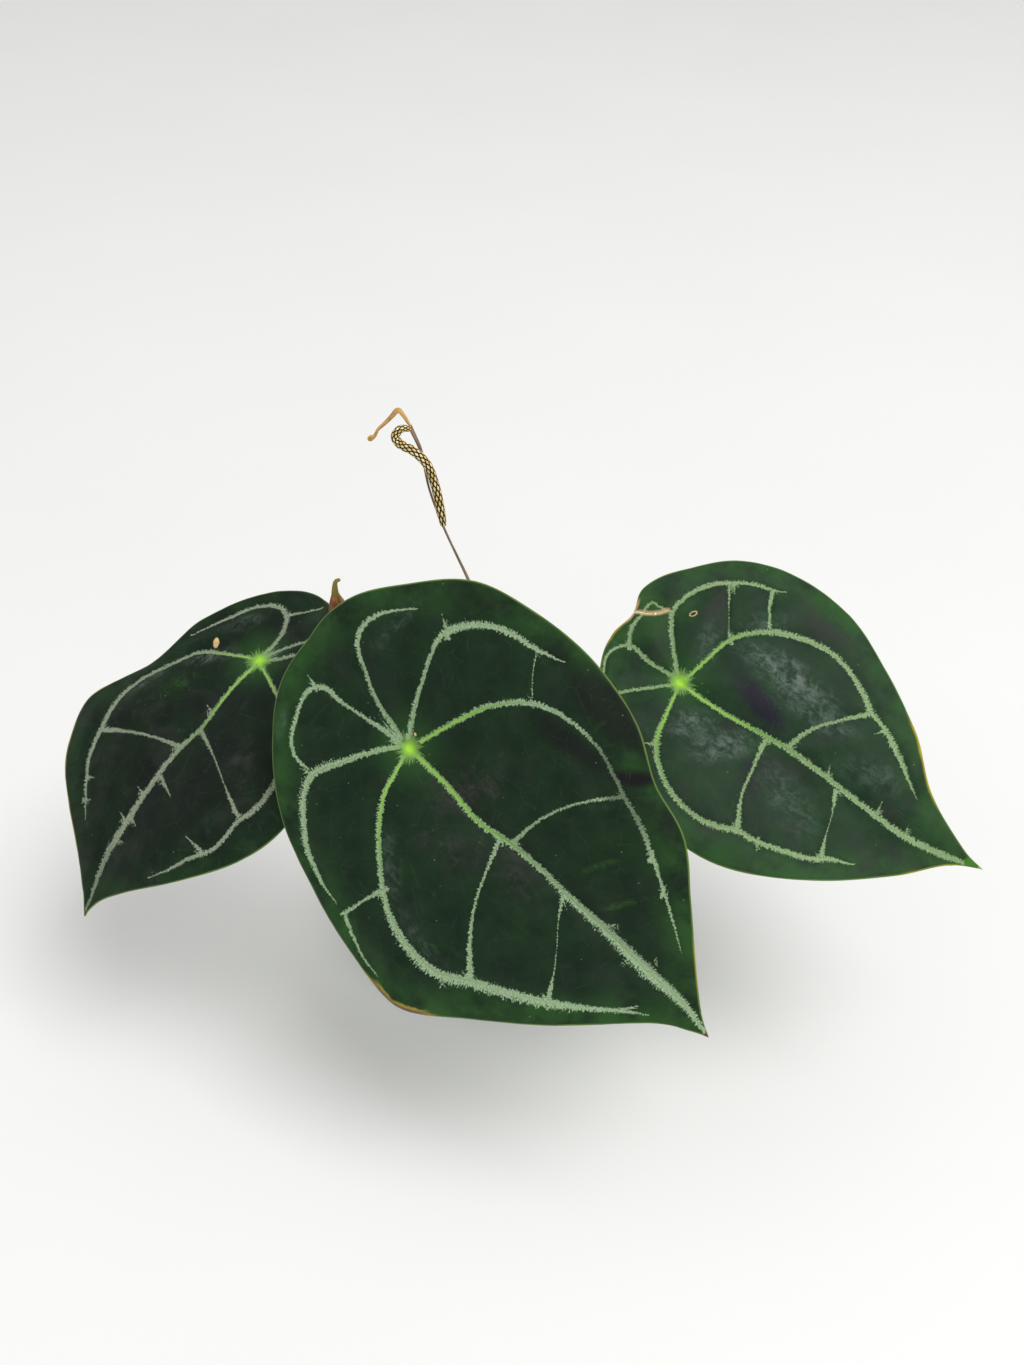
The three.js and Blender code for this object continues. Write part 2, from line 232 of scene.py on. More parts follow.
def makeTube(bm, path, radii, cells, shape):
    # A closed tube on a smooth curve, with its skin coordinates. shape scales the radius.
    sides, steps = cells
    centres = spread(smoothThrough(path), np.linspace(0, 1, steps + 1))
    total = lengthsAlong(centres)[-1]
    ahead = [Vector(step).normalized() for step in np.gradient(centres, axis=0)]
    across = [ahead[0].orthogonal().normalized()]
    for last, heading in zip(ahead, ahead[1:]):
        across.append((last.rotation_difference(heading) @ across[-1]).normalized())
    tube = bmesh.new()
    bmesh.ops.create_cone(tube, cap_ends=True, segments=sides, radius1=1, radius2=1, depth=1)
    uprights = [e for e in tube.edges if abs(e.verts[0].co.z - e.verts[1].co.z) > 0.5]
    bmesh.ops.subdivide_edges(tube, edges=uprights, cuts=steps - 1, use_grid_fill=True)
    skin = tube.verts.layers.float_vector.new("skin")
    for vert in tube.verts:
        share = vert.co.z + 0.5
        row = round(share * steps)
        turn = math.atan2(vert.co.y, vert.co.x)
        radius = along(radii, share)
        vert[skin] = (radius * math.cos(turn), radius * math.sin(turn), share * total)
        radius *= shape(share, turn, total)
        side = ahead[row].cross(across[row])
        out = across[row] * math.cos(turn) + side * math.sin(turn)
        vert.co = Vector(centres[row]) + out * radius
    joinInto(bm, tube)


def joinInto(bm, extra):
    mesh = bpy.data.meshes.new("part")
    extra.to_mesh(mesh)
    extra.free()
    bm.from_mesh(mesh)
    bpy.data.meshes.remove(mesh)


def turned(bm, outline, sides):
    # A solid of revolution from its half outline, closed on the axis
    verts = [bm.verts.new((radius, 0, height)) for radius, height in outline]
    edges = [bm.edges.new(pair) for pair in zip(verts, verts[1:])]
    bmesh.ops.spin(bm, geom=verts + edges, cent=(0, 0, 0), axis=(0, 0, 1), angle=fullTurn,
                   steps=sides, use_merge=True)
    bmesh.ops.remove_doubles(bm, verts=bm.verts, dist=0.01)
    bmesh.ops.recalc_face_normals(bm, faces=bm.faces)


def meshObject(name, bm, scale=mm):  # from a mesh that is in millimetres unless told
    bmesh.ops.scale(bm, vec=(scale, scale, scale), verts=bm.verts)
    mesh = bpy.data.meshes.new(name)
    bm.to_mesh(mesh)
    bm.free()
    return linked(name, mesh)


def newPiece(name, bm, paints, node):
    # A finished piece, standing for its CAD node
    piece = meshObject(name, bm)
    piece.data.shade_smooth()
    for paint in paints:
        piece.data.materials.append(paint.material)
    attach(piece, "root")
    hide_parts(node)
    return piece


# Leaf blades. A blade is drawn flat: how far along the midrib from the hub, and how far to
# its left. Bends and curls are degrees for each 100 mm, folds are degrees. Waves: ahead, left,
# reach, height. Spurs are short teeth beside the veins: from, to.
leaves = {
    "front": {
        "hub": (-48, -86, 226),
        "heading": -41,
        "pitch": 23,
        "roll": 52,
        "bendFront": 11,
        "bendBack": 9,
        "foldLeft": 15,
        "foldRight": 11,
        "curlLeft": -21,
        "curlRight": -23,
        "twist": -2,
        "margin": [
            (194, -7), (182, 1), (163, 19), (142, 40), (122, 59), (97, 69), (72, 85), (38, 93),
            (4, 91), (-26, 82), (-50, 59), (-68, 36), (-76, 9), (-73, -21), (-55, -48),
            (-25, -72), (10, -86), (40, -94), (68, -98), (88, -90), (106, -75), (133, -52),
            (168, -19), (185, -10), (194, -7),
        ],
        "waves": [(110, 66, 16, -5), (84, 80, 15, 2.5), (82, -96, 13, 4), (-60, 48, 20, -2)],
        # Each vein's path, its half widths along it, how green its core is at both ends, and
        # on which side it is wider: 1 the left, -1 the right, 0 neither
        "veins": [
            ([(0, 0), (25, 0), (48, -2), (65, 1), (84, 2), (104, 1), (123, 1), (150, -1), (173, -2),
              (194, -7)], [2.2, 1.9, 1.9, 2, 2.2, 2.6, 3.4, 4, 2.6, 0.8], (1, 0), 0),
            ([(3, 8), (11, 30), (18, 45), (31, 59), (47, 65), (66, 65), (80, 60), (89, 56), (104, 50),
              (117, 43), (130, 35), (142, 27), (155, 18)],
             [1.5, 1.6, 1.8, 1.8, 1.6, 1.1, 0.9, 1.1, 1.3, 1.3, 0.9, 0.7, 0.2], (1, -0.6), 1),
            ([(-4, 5), (-9, 15), (-15, 31), (-20, 47), (-20, 55), (-10, 69), (3, 76), (17, 79),
              (29, 83)], [1.9, 1.5, 1.2, 1.2, 2.4, 2.1, 1.9, 1.4, 0.3], (0.5, -0.5), 1),
            ([(-8, 1), (-26, 5), (-39, 11), (-52, 19), (-55, 28), (-52, 38), (-46, 46), (-39, 53)],
             [2, 1.7, 1.4, 1.2, 1.7, 1.6, 0.8, 0.4], (0.4, -0.5), 1),
            ([(-5, -2), (-14, -3), (-28, -6), (-42, -9), (-51, -10), (-56, -13), (-57, -21), (-53, -30),
              (-47, -40), (-40, -44), (-26, -43)],
             [1.9, 1.6, 1.1, 0.8, 1.5, 1.7, 1.2, 1.3, 1.4, 1, 0.3], (0.4, -0.5), -1),
            ([(-5, -4), (-13, -16), (-20, -29), (-27, -44), (-24, -54), (-16, -63), (-6, -72), (3, -76),
              (14, -80), (22, -81)],
             [1.8, 1.6, 1.7, 2.6, 2.4, 2.4, 2.2, 1.9, 1.2, 0.3], (0.6, -0.4), -1),
            ([(1, -5), (3, -13), (6, -24), (13, -35), (24, -47), (36, -58), (49, -66), (64, -70),
              (80, -69), (95, -60), (110, -52), (124, -44), (142, -32), (157, -21), (164, -17)],
             [1.6, 1.6, 1.8, 1.7, 1.7, 2.1, 2.8, 3.2, 3.4, 3.3, 3, 3, 1.9, 1.3, 0.2], (1, -0.5), -1),
            ([(66, 2), (68, 20), (74, 36), (82, 48), (89, 56)],
             [1.6, 0.8, 0.6, 0.7, 1.2], (0.3, 0), 0),
            ([(60, 0), (66, -17), (72, -31), (81, -45), (93, -59)],
             [1.6, 0.7, 0.7, 1.1, 2.4], (0.3, 0), 0),
            ([(36, -58), (32, -70), (29, -82)], [1.8, 0.8, 1.4], (0, 0), 0),
            ([(29, -82), (41, -88), (51, -92), (60, -93)], [1.4, 1, 0.8, 0.3], (0, 0), 0),
            ([(99, 0), (105, -10), (112, -19), (119, -29), (126, -42)], [1.4, 0.2, 0.12, 0.3, 1.9],
             (0, 0), 0),
            ([(17, 79), (24, 68), (31, 60)], [0.3, 0.25, 0.3], (0, 0), 0),
        ],
        "spurs": [
            (116, 43, 112, 47), (131, 34, 129, 37), (122, 1, 126, 7), (152, -1, 150, 6),
            (141, 0, 140, -6), (154, -23, 158, -17), (-19, 55, -26, 60), (84, -67, 86, -73),
            (110, -52, 108, -57), (-56, -13, -62, -12), (-27, -44, -33, -46),
        ],
    },
    "right": {
        "hub": (86, -23, 216),
        "heading": -29,
        "pitch": 20,
        "roll": 26,
        "bendFront": 2,
        "bendBack": 9,
        "foldLeft": 13,
        "foldRight": 12,
        "curlLeft": -19,
        "curlRight": -20,
        "twist": 0,
        "margin": [
            (176, 7), (162, 10), (133, 25), (111, 47), (83, 66), (53, 81), (21, 84), (-10, 74),
            (-33, 51), (-43, 32), (-40, 17), (-43, 2), (-39, -15), (-26, -37), (-4, -57),
            (22, -70), (50, -73), (78, -67), (110, -49), (140, -24), (160, -2), (176, 7),
        ],
        "waves": [(60, -76, 18, -2.5), (125, 36, 18, 2), (-30, 60, 16, -2)],
        "tear": [(-43, 13), (-39, 19), (-33, 22), (-28, 26), (-26, 29)],
        "veins": [
            ([(0, 0), (22, -1), (48, 1), (65, 2), (87, 1), (111, -1), (134, -2), (158, 2), (176, 7)],
             [2, 1.7, 1.7, 2, 2, 2.1, 2.6, 2.2, 0.7], (1, 0), 0),
            ([(2, 4), (5, 18), (9, 33), (17, 43), (25, 49), (40, 55), (56, 57), (70, 53), (81, 47),
              (88, 42), (99, 38), (110, 31), (121, 23), (129, 18)],
             [1.4, 1.4, 1.5, 1.8, 2.1, 2.1, 2, 1.8, 1.7, 2.1, 1.4, 1.9, 1.3, 0.3], (1, -0.6), 1),
            ([(-3, 3), (-14, 15), (-23, 29), (-22, 40), (-16, 52), (-6, 61), (5, 67), (12, 69),
              (18, 72)],
             [1.5, 1.3, 1.6, 1.5, 1.5, 1.7, 1.3, 1.2, 0.3], (0.6, -0.5), 1),
            ([(13, 68), (17, 59), (24, 48)], [1.6, 0.8, 1.2], (0, 0), 0),
            ([(-3, 1), (-18, 0), (-32, 2), (-37, -3), (-38, -11), (-34, -20), (-28, -26)],
             [1.5, 1.2, 1.6, 1.1, 0.9, 0.8, 0.5], (0.5, -0.5), -1),
            ([(-32, 2), (-36, 9), (-36, 19), (-35, 28), (-31, 28), (-24, 29)],
             [1.5, 1.3, 1, 0.9, 0.7, 1.2], (0, 0), 0),
            ([(-2, -3), (-12, -14), (-22, -25), (-25, -34), (-20, -43), (-10, -52), (0, -57)],
             [1.4, 1.1, 1.1, 1.3, 1.2, 1, 0.4], (0.6, -0.4), -1),
            ([(1, -4), (4, -21), (8, -37), (18, -48), (28, -54), (43, -57), (54, -55), (64, -51),
              (75, -50), (89, -46), (102, -41), (109, -36), (119, -32)],
             [1.3, 1.4, 1.9, 1.9, 1.8, 1.9, 1.8, 2.2, 1.9, 1.8, 1.9, 1.9, 0.4], (1, -0.5), -1),
            ([(63, 3), (68, 17), (78, 30), (88, 41)], [1.9, 1.1, 0.9, 2], (0.3, 0), 0),
            ([(52, -1), (54, -17), (57, -35), (64, -51)], [1.9, 0.9, 0.9, 2], (0.3, 0), 0),
            ([(95, -3), (99, -15), (102, -28), (105, -38)], [1.8, 0.2, 0.3, 1.9], (0, 0), 0),
            ([(-7, 58), (2, 43), (9, 33)], [0.9, 0.15, 0.2], (0, 0), 0),
        ],
        "spurs": [
            (88, 1, 86, 6), (118, -1, 117, 5), (136, -2, 134, 3), (99, 38, 96, 34), (105, 34, 102, 38),
            (8, -37, 3, -40), (-6, 61, -3, 57), (9, 33, 5, 38), (75, -50, 77, -54),
        ],
    },
    "left": {
        "hub": (-134.5, 6.5, 207.5),
        "heading": -133,
        "pitch": 21,
        "roll": -2,
        "bendFront": 18.5,
        "bendBack": 9,
        "foldLeft": 8,
        "foldRight": 9,
        "curlLeft": -24,
        "curlRight": -24,
        "twist": 0,
        "margin": [
            (163, 1), (151, 7), (139, 19), (114, 48), (88, 71), (67, 80), (40, 80), (14, 70),
            (-14, 51), (-37, 28), (-49, 5), (-46, -15), (-27, -35), (0, -49), (29, -53),
            (50, -66), (70, -76), (89, -71), (108, -58), (133, -25), (152, -6), (163, 1),
        ],
        "waves": [(42, -64, 17, -2.5), (104, 64, 18, -2)],
        "veins": [
            ([(0, 0), (21, -1), (46, 1), (64, -2), (86, -3), (104, -3), (130, -3), (150, 0), (163, 1)],
             [1.9, 1.6, 1.7, 1.7, 1.9, 2.3, 2.6, 1.6, 0.6], (1, -0.1), 0),
            ([(1, -4), (7, -17), (16, -33), (28, -41), (44, -52), (59, -56), (72, -54), (80, -52),
              (95, -47), (105, -40), (114, -32), (120, -27)],
             [1.3, 1.3, 1.5, 1.3, 1.3, 1.5, 1.9, 2.1, 1.6, 1.4, 1, 0.2], (0.8, -0.5), -1),
            ([(-3, -1), (-16, -2), (-26, -6), (-31, -15), (-24, -27), (-14, -33), (-3, -39), (9, -45)],
             [1.6, 1.5, 1.7, 1.9, 1.3, 1.4, 0.9, 0.3], (0.7, -0.4), -1),
            ([(-30, -8), (-38, -2), (-44, 3)], [1.4, 0.6, 0.8], (0, 0), 0),
            ([(-3, 1), (-12, 6), (-21, 13), (-31, 20), (-33, 29)],
             [1.5, 1.4, 1, 0.9, 0.4], (0.6, 0), 1),
            ([(-2, 3), (-7, 10), (-14, 17), (-22, 31), (-24, 42), (-15, 54), (1, 62), (15, 66)],
             [1.6, 1.4, 1.1, 1, 1.6, 1.5, 1.2, 0.3], (0.6, -0.4), 1),
            ([(2, 3), (7, 17), (13, 31), (24, 46), (36, 56), (49, 61), (64, 61), (74, 57), (84, 56),
              (93, 53), (103, 45), (111, 40), (122, 31)],
             [1.4, 1.4, 1.4, 1.5, 1.6, 1.8, 1.9, 2, 1.5, 1.5, 1.4, 0.9, 0.2], (0.9, -0.5), 1),
            ([(61, -2), (65, -18), (71, -35), (78, -50)], [1.8, 0.8, 0.9, 2.1], (0.3, 0), 0),
            ([(48, 2), (55, 21), (63, 38), (71, 55)], [1.7, 0.5, 0.3, 1.7], (0.3, 0), 0),
            ([(80, 0), (84, 13)], [1.5, 0.3], (0, 0), 0),
        ],
        "spurs": [
            (109, -4, 107, -9), (106, -2, 107, 3), (92, -4, 91, -8), (37, 0, 36, -4), (96, 49, 95, 38),
            (103, -41, 101, -37), (113, -33, 111, -30), (120, -3, 118, 2),
        ],
    },
}

bladeLook = {
    "cells": 120,  # along each side of the square grid that the blade grows from
    "fineWithin": 4.5,  # cells this near a vein are halved
    "thin": 0.55,
    "ribThickness": 2.6,  # at the widest veins, below the blade
    "grooveDepth": 0.5,
    "quilting": 1.5,  # how far the panels between the veins rise
    "quiltReach": 8,
    "quiltRim": 12,  # the panels flatten this near the margin
    "ripple": 0.5,
    "rippleLengths": (19, 6),
    "marginRoll": 0.5,
    "rollReach": 0.8,
    "spurWidth": 1.5,
    "tearWidth": 0.5,
}


def arcReach(length, start, turn):  # forward and sideways reach of an evenly turning arc
    end = start + turn * length
    return (np.sin(end) - np.sin(start)) / turn, (np.cos(start) - np.cos(end)) / turn


def leafFrame(leaf):
    heading, pitch, roll = (math.radians(leaf[name]) for name in ("heading", "pitch", "roll"))
    turned = Matrix.Rotation(heading, 3, "Z") @ Matrix.Rotation(pitch, 3, "Y")
    return np.array(turned @ Matrix.Rotation(roll, 3, "X"))


def onBlade(leaf, ahead, left):
    # Places in space of points on the flat blade
    bend = np.radians(np.where(ahead < 0, leaf["bendBack"], leaf["bendFront"])) / 100
    reach, drop = arcReach(np.abs(ahead), 0, -bend)
    slope = -np.sign(ahead) * bend * np.abs(ahead)
    fold = np.radians(np.where(left < 0, leaf["foldRight"], leaf["foldLeft"]))
    curl = np.radians(np.where(left < 0, leaf["curlRight"], leaf["curlLeft"])) / 100
    width, rise = arcReach(np.abs(left), fold, curl)
    twist = math.radians(leaf["twist"] / 100) * ahead
    across = np.sign(left) * width
    side = across * np.cos(twist) - rise * np.sin(twist)
    lift = across * np.sin(twist) + rise * np.cos(twist)
    for waveAhead, waveLeft, waveReach, height in leaf["waves"]:
        away = np.hypot(ahead - waveAhead, left - waveLeft) / waveReach
        lift = lift + height * np.exp(-away * away)
    forward = np.sign(ahead) * reach - lift * np.sin(slope)
    local = np.stack([forward, side, drop + lift * np.cos(slope)], axis=-1)
    return local @ leafFrame(leaf).T + np.array(leaf["hub"])


def bladeNormals(leaf, ahead, left, small=0.05):
    forward = onBlade(leaf, ahead + small, left) - onBlade(leaf, ahead - small, left)
    sideways = onBlade(leaf, ahead, left + small) - onBlade(leaf, ahead, left - small)
    normal = np.cross(forward, sideways)
    return normal / np.linalg.norm(normal, axis=1, keepdims=True)


def measure(points, path):
    # Each point's distance to a path, its signed side of it and how far along it is
    starts, steps = path[:-1], np.diff(path, axis=0)
    lengths = np.linalg.norm(steps, axis=1)
    toPoints = points[:, None] - starts[None]
    share = np.clip(np.einsum("psk,sk->ps", toPoints, steps) / lengths**2, 0, 1)
    away = np.linalg.norm(toPoints - share[..., None] * steps, axis=2)
    nearest = np.argmin(away, axis=1)
    rows = np.arange(len(points))
    offset = toPoints[rows, nearest]
    step = steps[nearest] / lengths[nearest, None]
    side = step[:, 0] * offset[:, 1] - step[:, 1] * offset[:, 0]
    reached = lengthsAlong(path)[nearest] + share[rows, nearest] * lengths[nearest]
    return away[rows, nearest], side, reached


def veinField(leaf, points):
    # The nearest vein of each point: distance, side, place along, half width, tone
    spurs = [([(a, b), (c, d)], [bladeLook["spurWidth"], 0.15], (0, 0), 0)
             for a, b, c, d in leaf["spurs"]]
    field = {name: np.full(len(points), 1e3) for name in ("distance", "side", "along")}
    field["half"] = np.ones(len(points))
    field["tone"] = np.zeros(len(points))
    for number, (path, widths, tones, outside) in enumerate(leaf["veins"] + spurs):
        line = smoothThrough(path, each=8)
        distance, side, reached = measure(points, line)
        share = reached / lengthsAlong(line)[-1]
        lopsided = 1 + 0.25 * outside * np.sign(side)
        half = along(widths, share) * lopsided
        nearer = distance - half < field["distance"] - field["half"]
        found = {"distance": distance, "side": side, "along": reached + 50 * number, "half": half}
        found["tone"] = along(tones, share)
        for name, values in found.items():
            field[name] = np.where(nearer, values, field[name])
    return field


def flatBlade(leaf):
    # The blade drawn flat: a square grid drawn out to the margin, finer along the veins
    margin = smoothThrough(leaf["margin"], evenly=True)
    bm = bmesh.new()
    cells = bladeLook["cells"]
    bmesh.ops.create_grid(bm, x_segments=cells, y_segments=cells, size=1)
    square = np.array([vert.co[:2] for vert in bm.verts])
    disc = square * np.sqrt(1 - square[:, ::-1] ** 2 / 2)
    turn = np.arctan2(disc[:, 1], disc[:, 0]) / fullTurn % 1
    points = spread(margin, turn) * np.hypot(*disc.T)[:, None]
    for vert, point in zip(bm.verts, points):
        vert.co = (*point, 0)
    field = veinField(leaf, points)
    near = field["distance"] < bladeLook["fineWithin"]
    bm.verts.index_update()
    fine = [face for face in bm.faces if all(near[vert.index] for vert in face.verts)]
    edges = {edge for face in fine for edge in face.edges}
    bmesh.ops.subdivide_edges(bm, edges=list(edges), cuts=1, use_grid_fill=True)
    if "tear" in leaf:
        tearOpen(bm, leaf["tear"])
    return bm, margin


def tearOpen(bm, path):
    # A short tear in from the margin, tapering inwards
    line = smoothThrough(path)
    around = bladeLook["tearWidth"] * 3
    centres = np.array([face.calc_center_median()[:2] for face in bm.faces])
    near = measure(centres, line)[0] < around
    edges = {edge for face, isNear in zip(bm.faces, near) if isNear for edge in face.edges}
    bmesh.ops.subdivide_edges(bm, edges=list(edges), cuts=3, use_grid_fill=True)
    centres = np.array([face.calc_center_median()[:2] for face in bm.faces])
    away, _, reached = measure(centres, line)
    width = bladeLook["tearWidth"] / 2 * (1 - reached / lengthsAlong(line)[-1] * 0.8)
    gone = [face for face, isGone in zip(bm.faces, away < width) if isGone]
    bmesh.ops.delete(bm, geom=gone, context="FACES")


def makeBlade(name, leaf, paints):
    bm, margin = flatBlade(leaf)
    points = np.array([vert.co[:2] for vert in bm.verts])
    field = veinField(leaf, points)
    rim = measure(points, margin)[0]
    if "tear" in leaf:
        toTear = measure(points, smoothThrough(leaf["tear"]))[0]
        rim = np.minimum(rim, toTear)
    grooves = np.exp(-((field["distance"] / (0.8 * field["half"] + 0.7)) ** 2))
    panels = 1 - np.exp(-((field["distance"] / bladeLook["quiltReach"]) ** 2))
    panels *= np.clip(rim / bladeLook["quiltRim"], 0.25, 1)
    broad, fine = bladeLook["rippleLengths"]
    ripples = [
        noise.noise((x / broad, y / broad, leaf["heading"]))
        + 0.35 * noise.noise((x / fine, y / fine, 3))
        for x, y in points
    ]
    lift = bladeLook["quilting"] * panels - bladeLook["grooveDepth"] * grooves
    lift += bladeLook["ripple"] * np.array(ripples)
    lift -= bladeLook["marginRoll"] * np.exp(-rim / bladeLook["rollReach"])
    placed = onBlade(leaf, *points.T) + lift[:, None] * bladeNormals(leaf, *points.T)

    vein = bm.verts.layers.float_vector.new("vein")
    extent = bm.verts.layers.float_vector.new("extent")
    flat = bm.verts.layers.float_vector.new("flat")
    for i, vert in enumerate(bm.verts):
        vert[vein] = (field["side"][i], field["along"][i], field["half"][i])
        vert[extent] = (field["distance"][i], rim[i], field["tone"][i])
        vert[flat] = (*points[i], 0)
        vert.co = placed[i]
    piece = newPiece(f"leaf_{name}", bm, paints, f"blade_{name}")

    ribs = piece.vertex_groups.new(name="ribs")
    thin = bladeLook["thin"] / bladeLook["ribThickness"]
    width = 0.7 * field["half"] + 0.5
    swell = np.exp(-((field["distance"] / width) ** 2)) * np.clip(field["half"] / 2.5, 0, 1)
    for i, share in enumerate(thin + (1 - thin) * swell):
        ribs.add([i], share, "REPLACE")
    solid = piece.modifiers.new("thickness", "SOLIDIFY")
    solid.thickness = bladeLook["ribThickness"] * mm
    solid.offset = -1
    solid.vertex_group = ribs.name
    solid.material_offset = 1
    solid.material_offset_rim = 2
    return piece


# What marks each blade, on its flat plan. Velvet and silver each run between two colours,
# mauve and fresh are strengths; the purplish grey patches are painted velvet sheen. The strokes
# are painted shade: from, to, half width, colour, strength. Sheen is the same, broken into fine
# streaks of painted sheen and gloss, and dulled is painted shade on the veins only: from, to,
# half width, strength. Spots: place, half length and width, turn, colour. Edges: from, to,
# reach in from the rim, colour.
# Colours of painted shade, painted purplish sheen and painted pale gloss
paintedShade, mauveSheen, sheenGrey = hue(19, 20, 21), hue(66, 58, 60), hue(112, 128, 118)
tan, cream, brown, ochre = hue(198, 168, 118), hue(216, 190, 130), hue(92, 66, 42), hue(150, 166, 62)
yellow, leafGreen = hue(176, 160, 44), hue(66, 116, 40)
marks = {
    "front": {
        "velvet": (hue(16, 34, 20), hue(25, 48, 26)),
        "mauveSheen": 0.25,
        "fresh": 0.6,
        "veinShade": [((60, 68), (112, 44), 9, 0.65), ((50, 90), (110, 60), 9, 0.6)],
        "silver": (hue(122, 146, 108), hue(158, 182, 146)),
        "shadeStrokes": [
            ((34, 56), (78, 60), 7, paintedShade, 0.75), ((78, 58), (96, 74), 5, paintedShade, 1),
            ((20, 84), (96, 82), 14, paintedShade, 0.8), ((96, 58), (118, 60), 9, paintedShade, 0.45),
            ((-52, 62), (0, 88), 9, paintedShade, 0.5), ((78, 96), (104, 98), 3, paintedShade, 0.4),
        ],
        "sheen": [
            ((18, -34), (46, -60), 4.5, sheenGrey, 0.45), ((46, -60), (84, -65), 3.5, sheenGrey, 0.4),
            ((26, -8), (38, 14), 9, mauveSheen, 0.9), ((44, 14), (36, 30), 5, mauveSheen, 0.8),
            ((36, -26), (58, -12), 8, mauveSheen, 0.7), ((62, 2), (88, -16), 9, mauveSheen, 0.6),
            ((-44, 20), (-40, 62), 4, sheenGrey, 0.3), ((95, 9), (108, 38), 1.6, leafGreen, 0.5),
            ((114, 5), (127, 28), 1.6, leafGreen, 0.6), ((-62, -30), (-52, -46), 2.5, sheenGrey, 0.4),
        ],
        "spots": [
            ((-2, 7.5), 1, 0.8, 0, cream), ((193, -6.6), 2.2, 1.6, 0, brown),
            ((134, 54), 0.9, 0.6, 0, cream), ((148, 40), 1.4, 0.8, 0, yellow),
        ],
        "edges": [
            ((60, -96), (90, -88), 0.9, yellow), ((150, 24), (172, 4), 0.35, yellow),
            ((66, -98), (90, -92), 2.6, yellow), ((66, -98), (90, -92), 1.9, hue(104, 80, 74)),
        ],
    },
    "right": {
        # The right leaf's velvet is set lighter: partly its own green, partly painted light
        "velvet": (hue(23, 44, 27), hue(35, 62, 37)),
        "mauveSheen": 0.55,
        "fresh": 0.65,
        "veinShade": [],
        "silver": (hue(118, 146, 98), hue(150, 174, 130)),
        "shadeStrokes": [
            ((22, 19), (56, 8), 8, hue(30, 29, 40), 1),
            ((46, -14), (66, -34), 5, hue(36, 38, 44), 0.6),
            ((-6, 36), (-8, 60), 7, hue(44, 42, 38), 0.5),
            ((36, 66), (66, 66), 7, hue(46, 44, 46), 0.5),
        ],
        "sheen": [
            ((16, 34), (62, 36), 7, sheenGrey, 1), ((34, 28), (78, 30), 8, sheenGrey, 0.8),
            ((10, -24), (22, -12), 7, sheenGrey, 0.9), ((26, -30), (46, -6), 7, sheenGrey, 0.9),
            ((4, 16), (-2, 34), 5, sheenGrey, 0.6), ((60, -16), (92, -30), 9, sheenGrey, 0.45),
            ((64, 19), (88, 30), 5, sheenGrey, 0.5), ((10, 44), (30, 60), 5, sheenGrey, 0.45),
            ((92, 12), (120, 18), 7, sheenGrey, 0.4),
        ],
        "spots": [
            ((-14, 34), 2.5, 1.5, 60, tan), ((-14, 34), 1.8, 0.9, 60, hue(38, 56, 36)),
            ((172, 6), 7, 3.6, 5, leafGreen), ((176, 7), 3, 2.4, 0, ochre),
        ],
        "edges": [
            ((108, 50), (138, 22), 0.9, yellow), ((-44, 0), (-42, 16), 0.7, yellow),
            ((146, -20), (162, -1), 0.4, yellow), ((-42, 16), (-26, 29), 1.1, tan),
        ],
    },
    "left": {
        # The left leaf's velvet and silver are set darker: partly their own colour, partly painted
        # shade
        "velvet": (hue(11, 24, 15), hue(20, 38, 22)),
        "mauveSheen": 0.5,
        "fresh": 0.2,
        "veinShade": [((110, -30), (160, 4), 22, 0.3)],
        "silver": (hue(112, 126, 102), hue(150, 160, 140)),
        "shadeStrokes": [
            ((40, 20), (90, 30), 14, paintedShade, 0.55), ((70, -20), (110, 20), 16, paintedShade, 0.5),
            ((20, 10), (50, -22), 9, paintedShade, 0.35),
        ],
        "sheen": [
            ((4, -16), (24, -34), 4, sheenGrey, 0.7), ((24, -40), (56, -52), 2.6, sheenGrey, 0.6),
            ((-20, -20), (-4, -30), 5, sheenGrey, 0.4), ((40, 34), (60, 44), 6, mauveSheen, 0.7),
            ((28, -24), (50, -34), 5, leafGreen, 0.4),
        ],
        "spots": [((6, -28), 3.3, 1.9, 40, tan), ((4.6, -28.8), 1.1, 0.9, 0, cream),
                  ((163, 1), 3.4, 2, 0, brown)],
        "edges": [((60, -74), (110, -56), 0.9, yellow), ((120, -46), (134, -26), 0.6, yellow)],
    },
}


def strokeOn(paint, flat, start, end, halfWidth, halfLength=None, turn=None):
    # How far a point of the blade lies from the middle of a long soft spot, 1 at its edge
    middle = ((start[0] + end[0]) / 2, (start[1] + end[1]) / 2, 0)
    step = (end[0] - start[0], end[1] - start[1])
    reach = halfLength or math.hypot(*step) / 2 + halfWidth
    turn = math.atan2(step[1], step[0]) if turn is None else math.radians(turn)
    size = (reach, halfWidth, 1)
    values = {"Vector": flat, "Location": middle, "Rotation": (0, 0, turn), "Scale": size}
    return paint.length(paint.node("Mapping", {"vector_type": "TEXTURE"}, values))


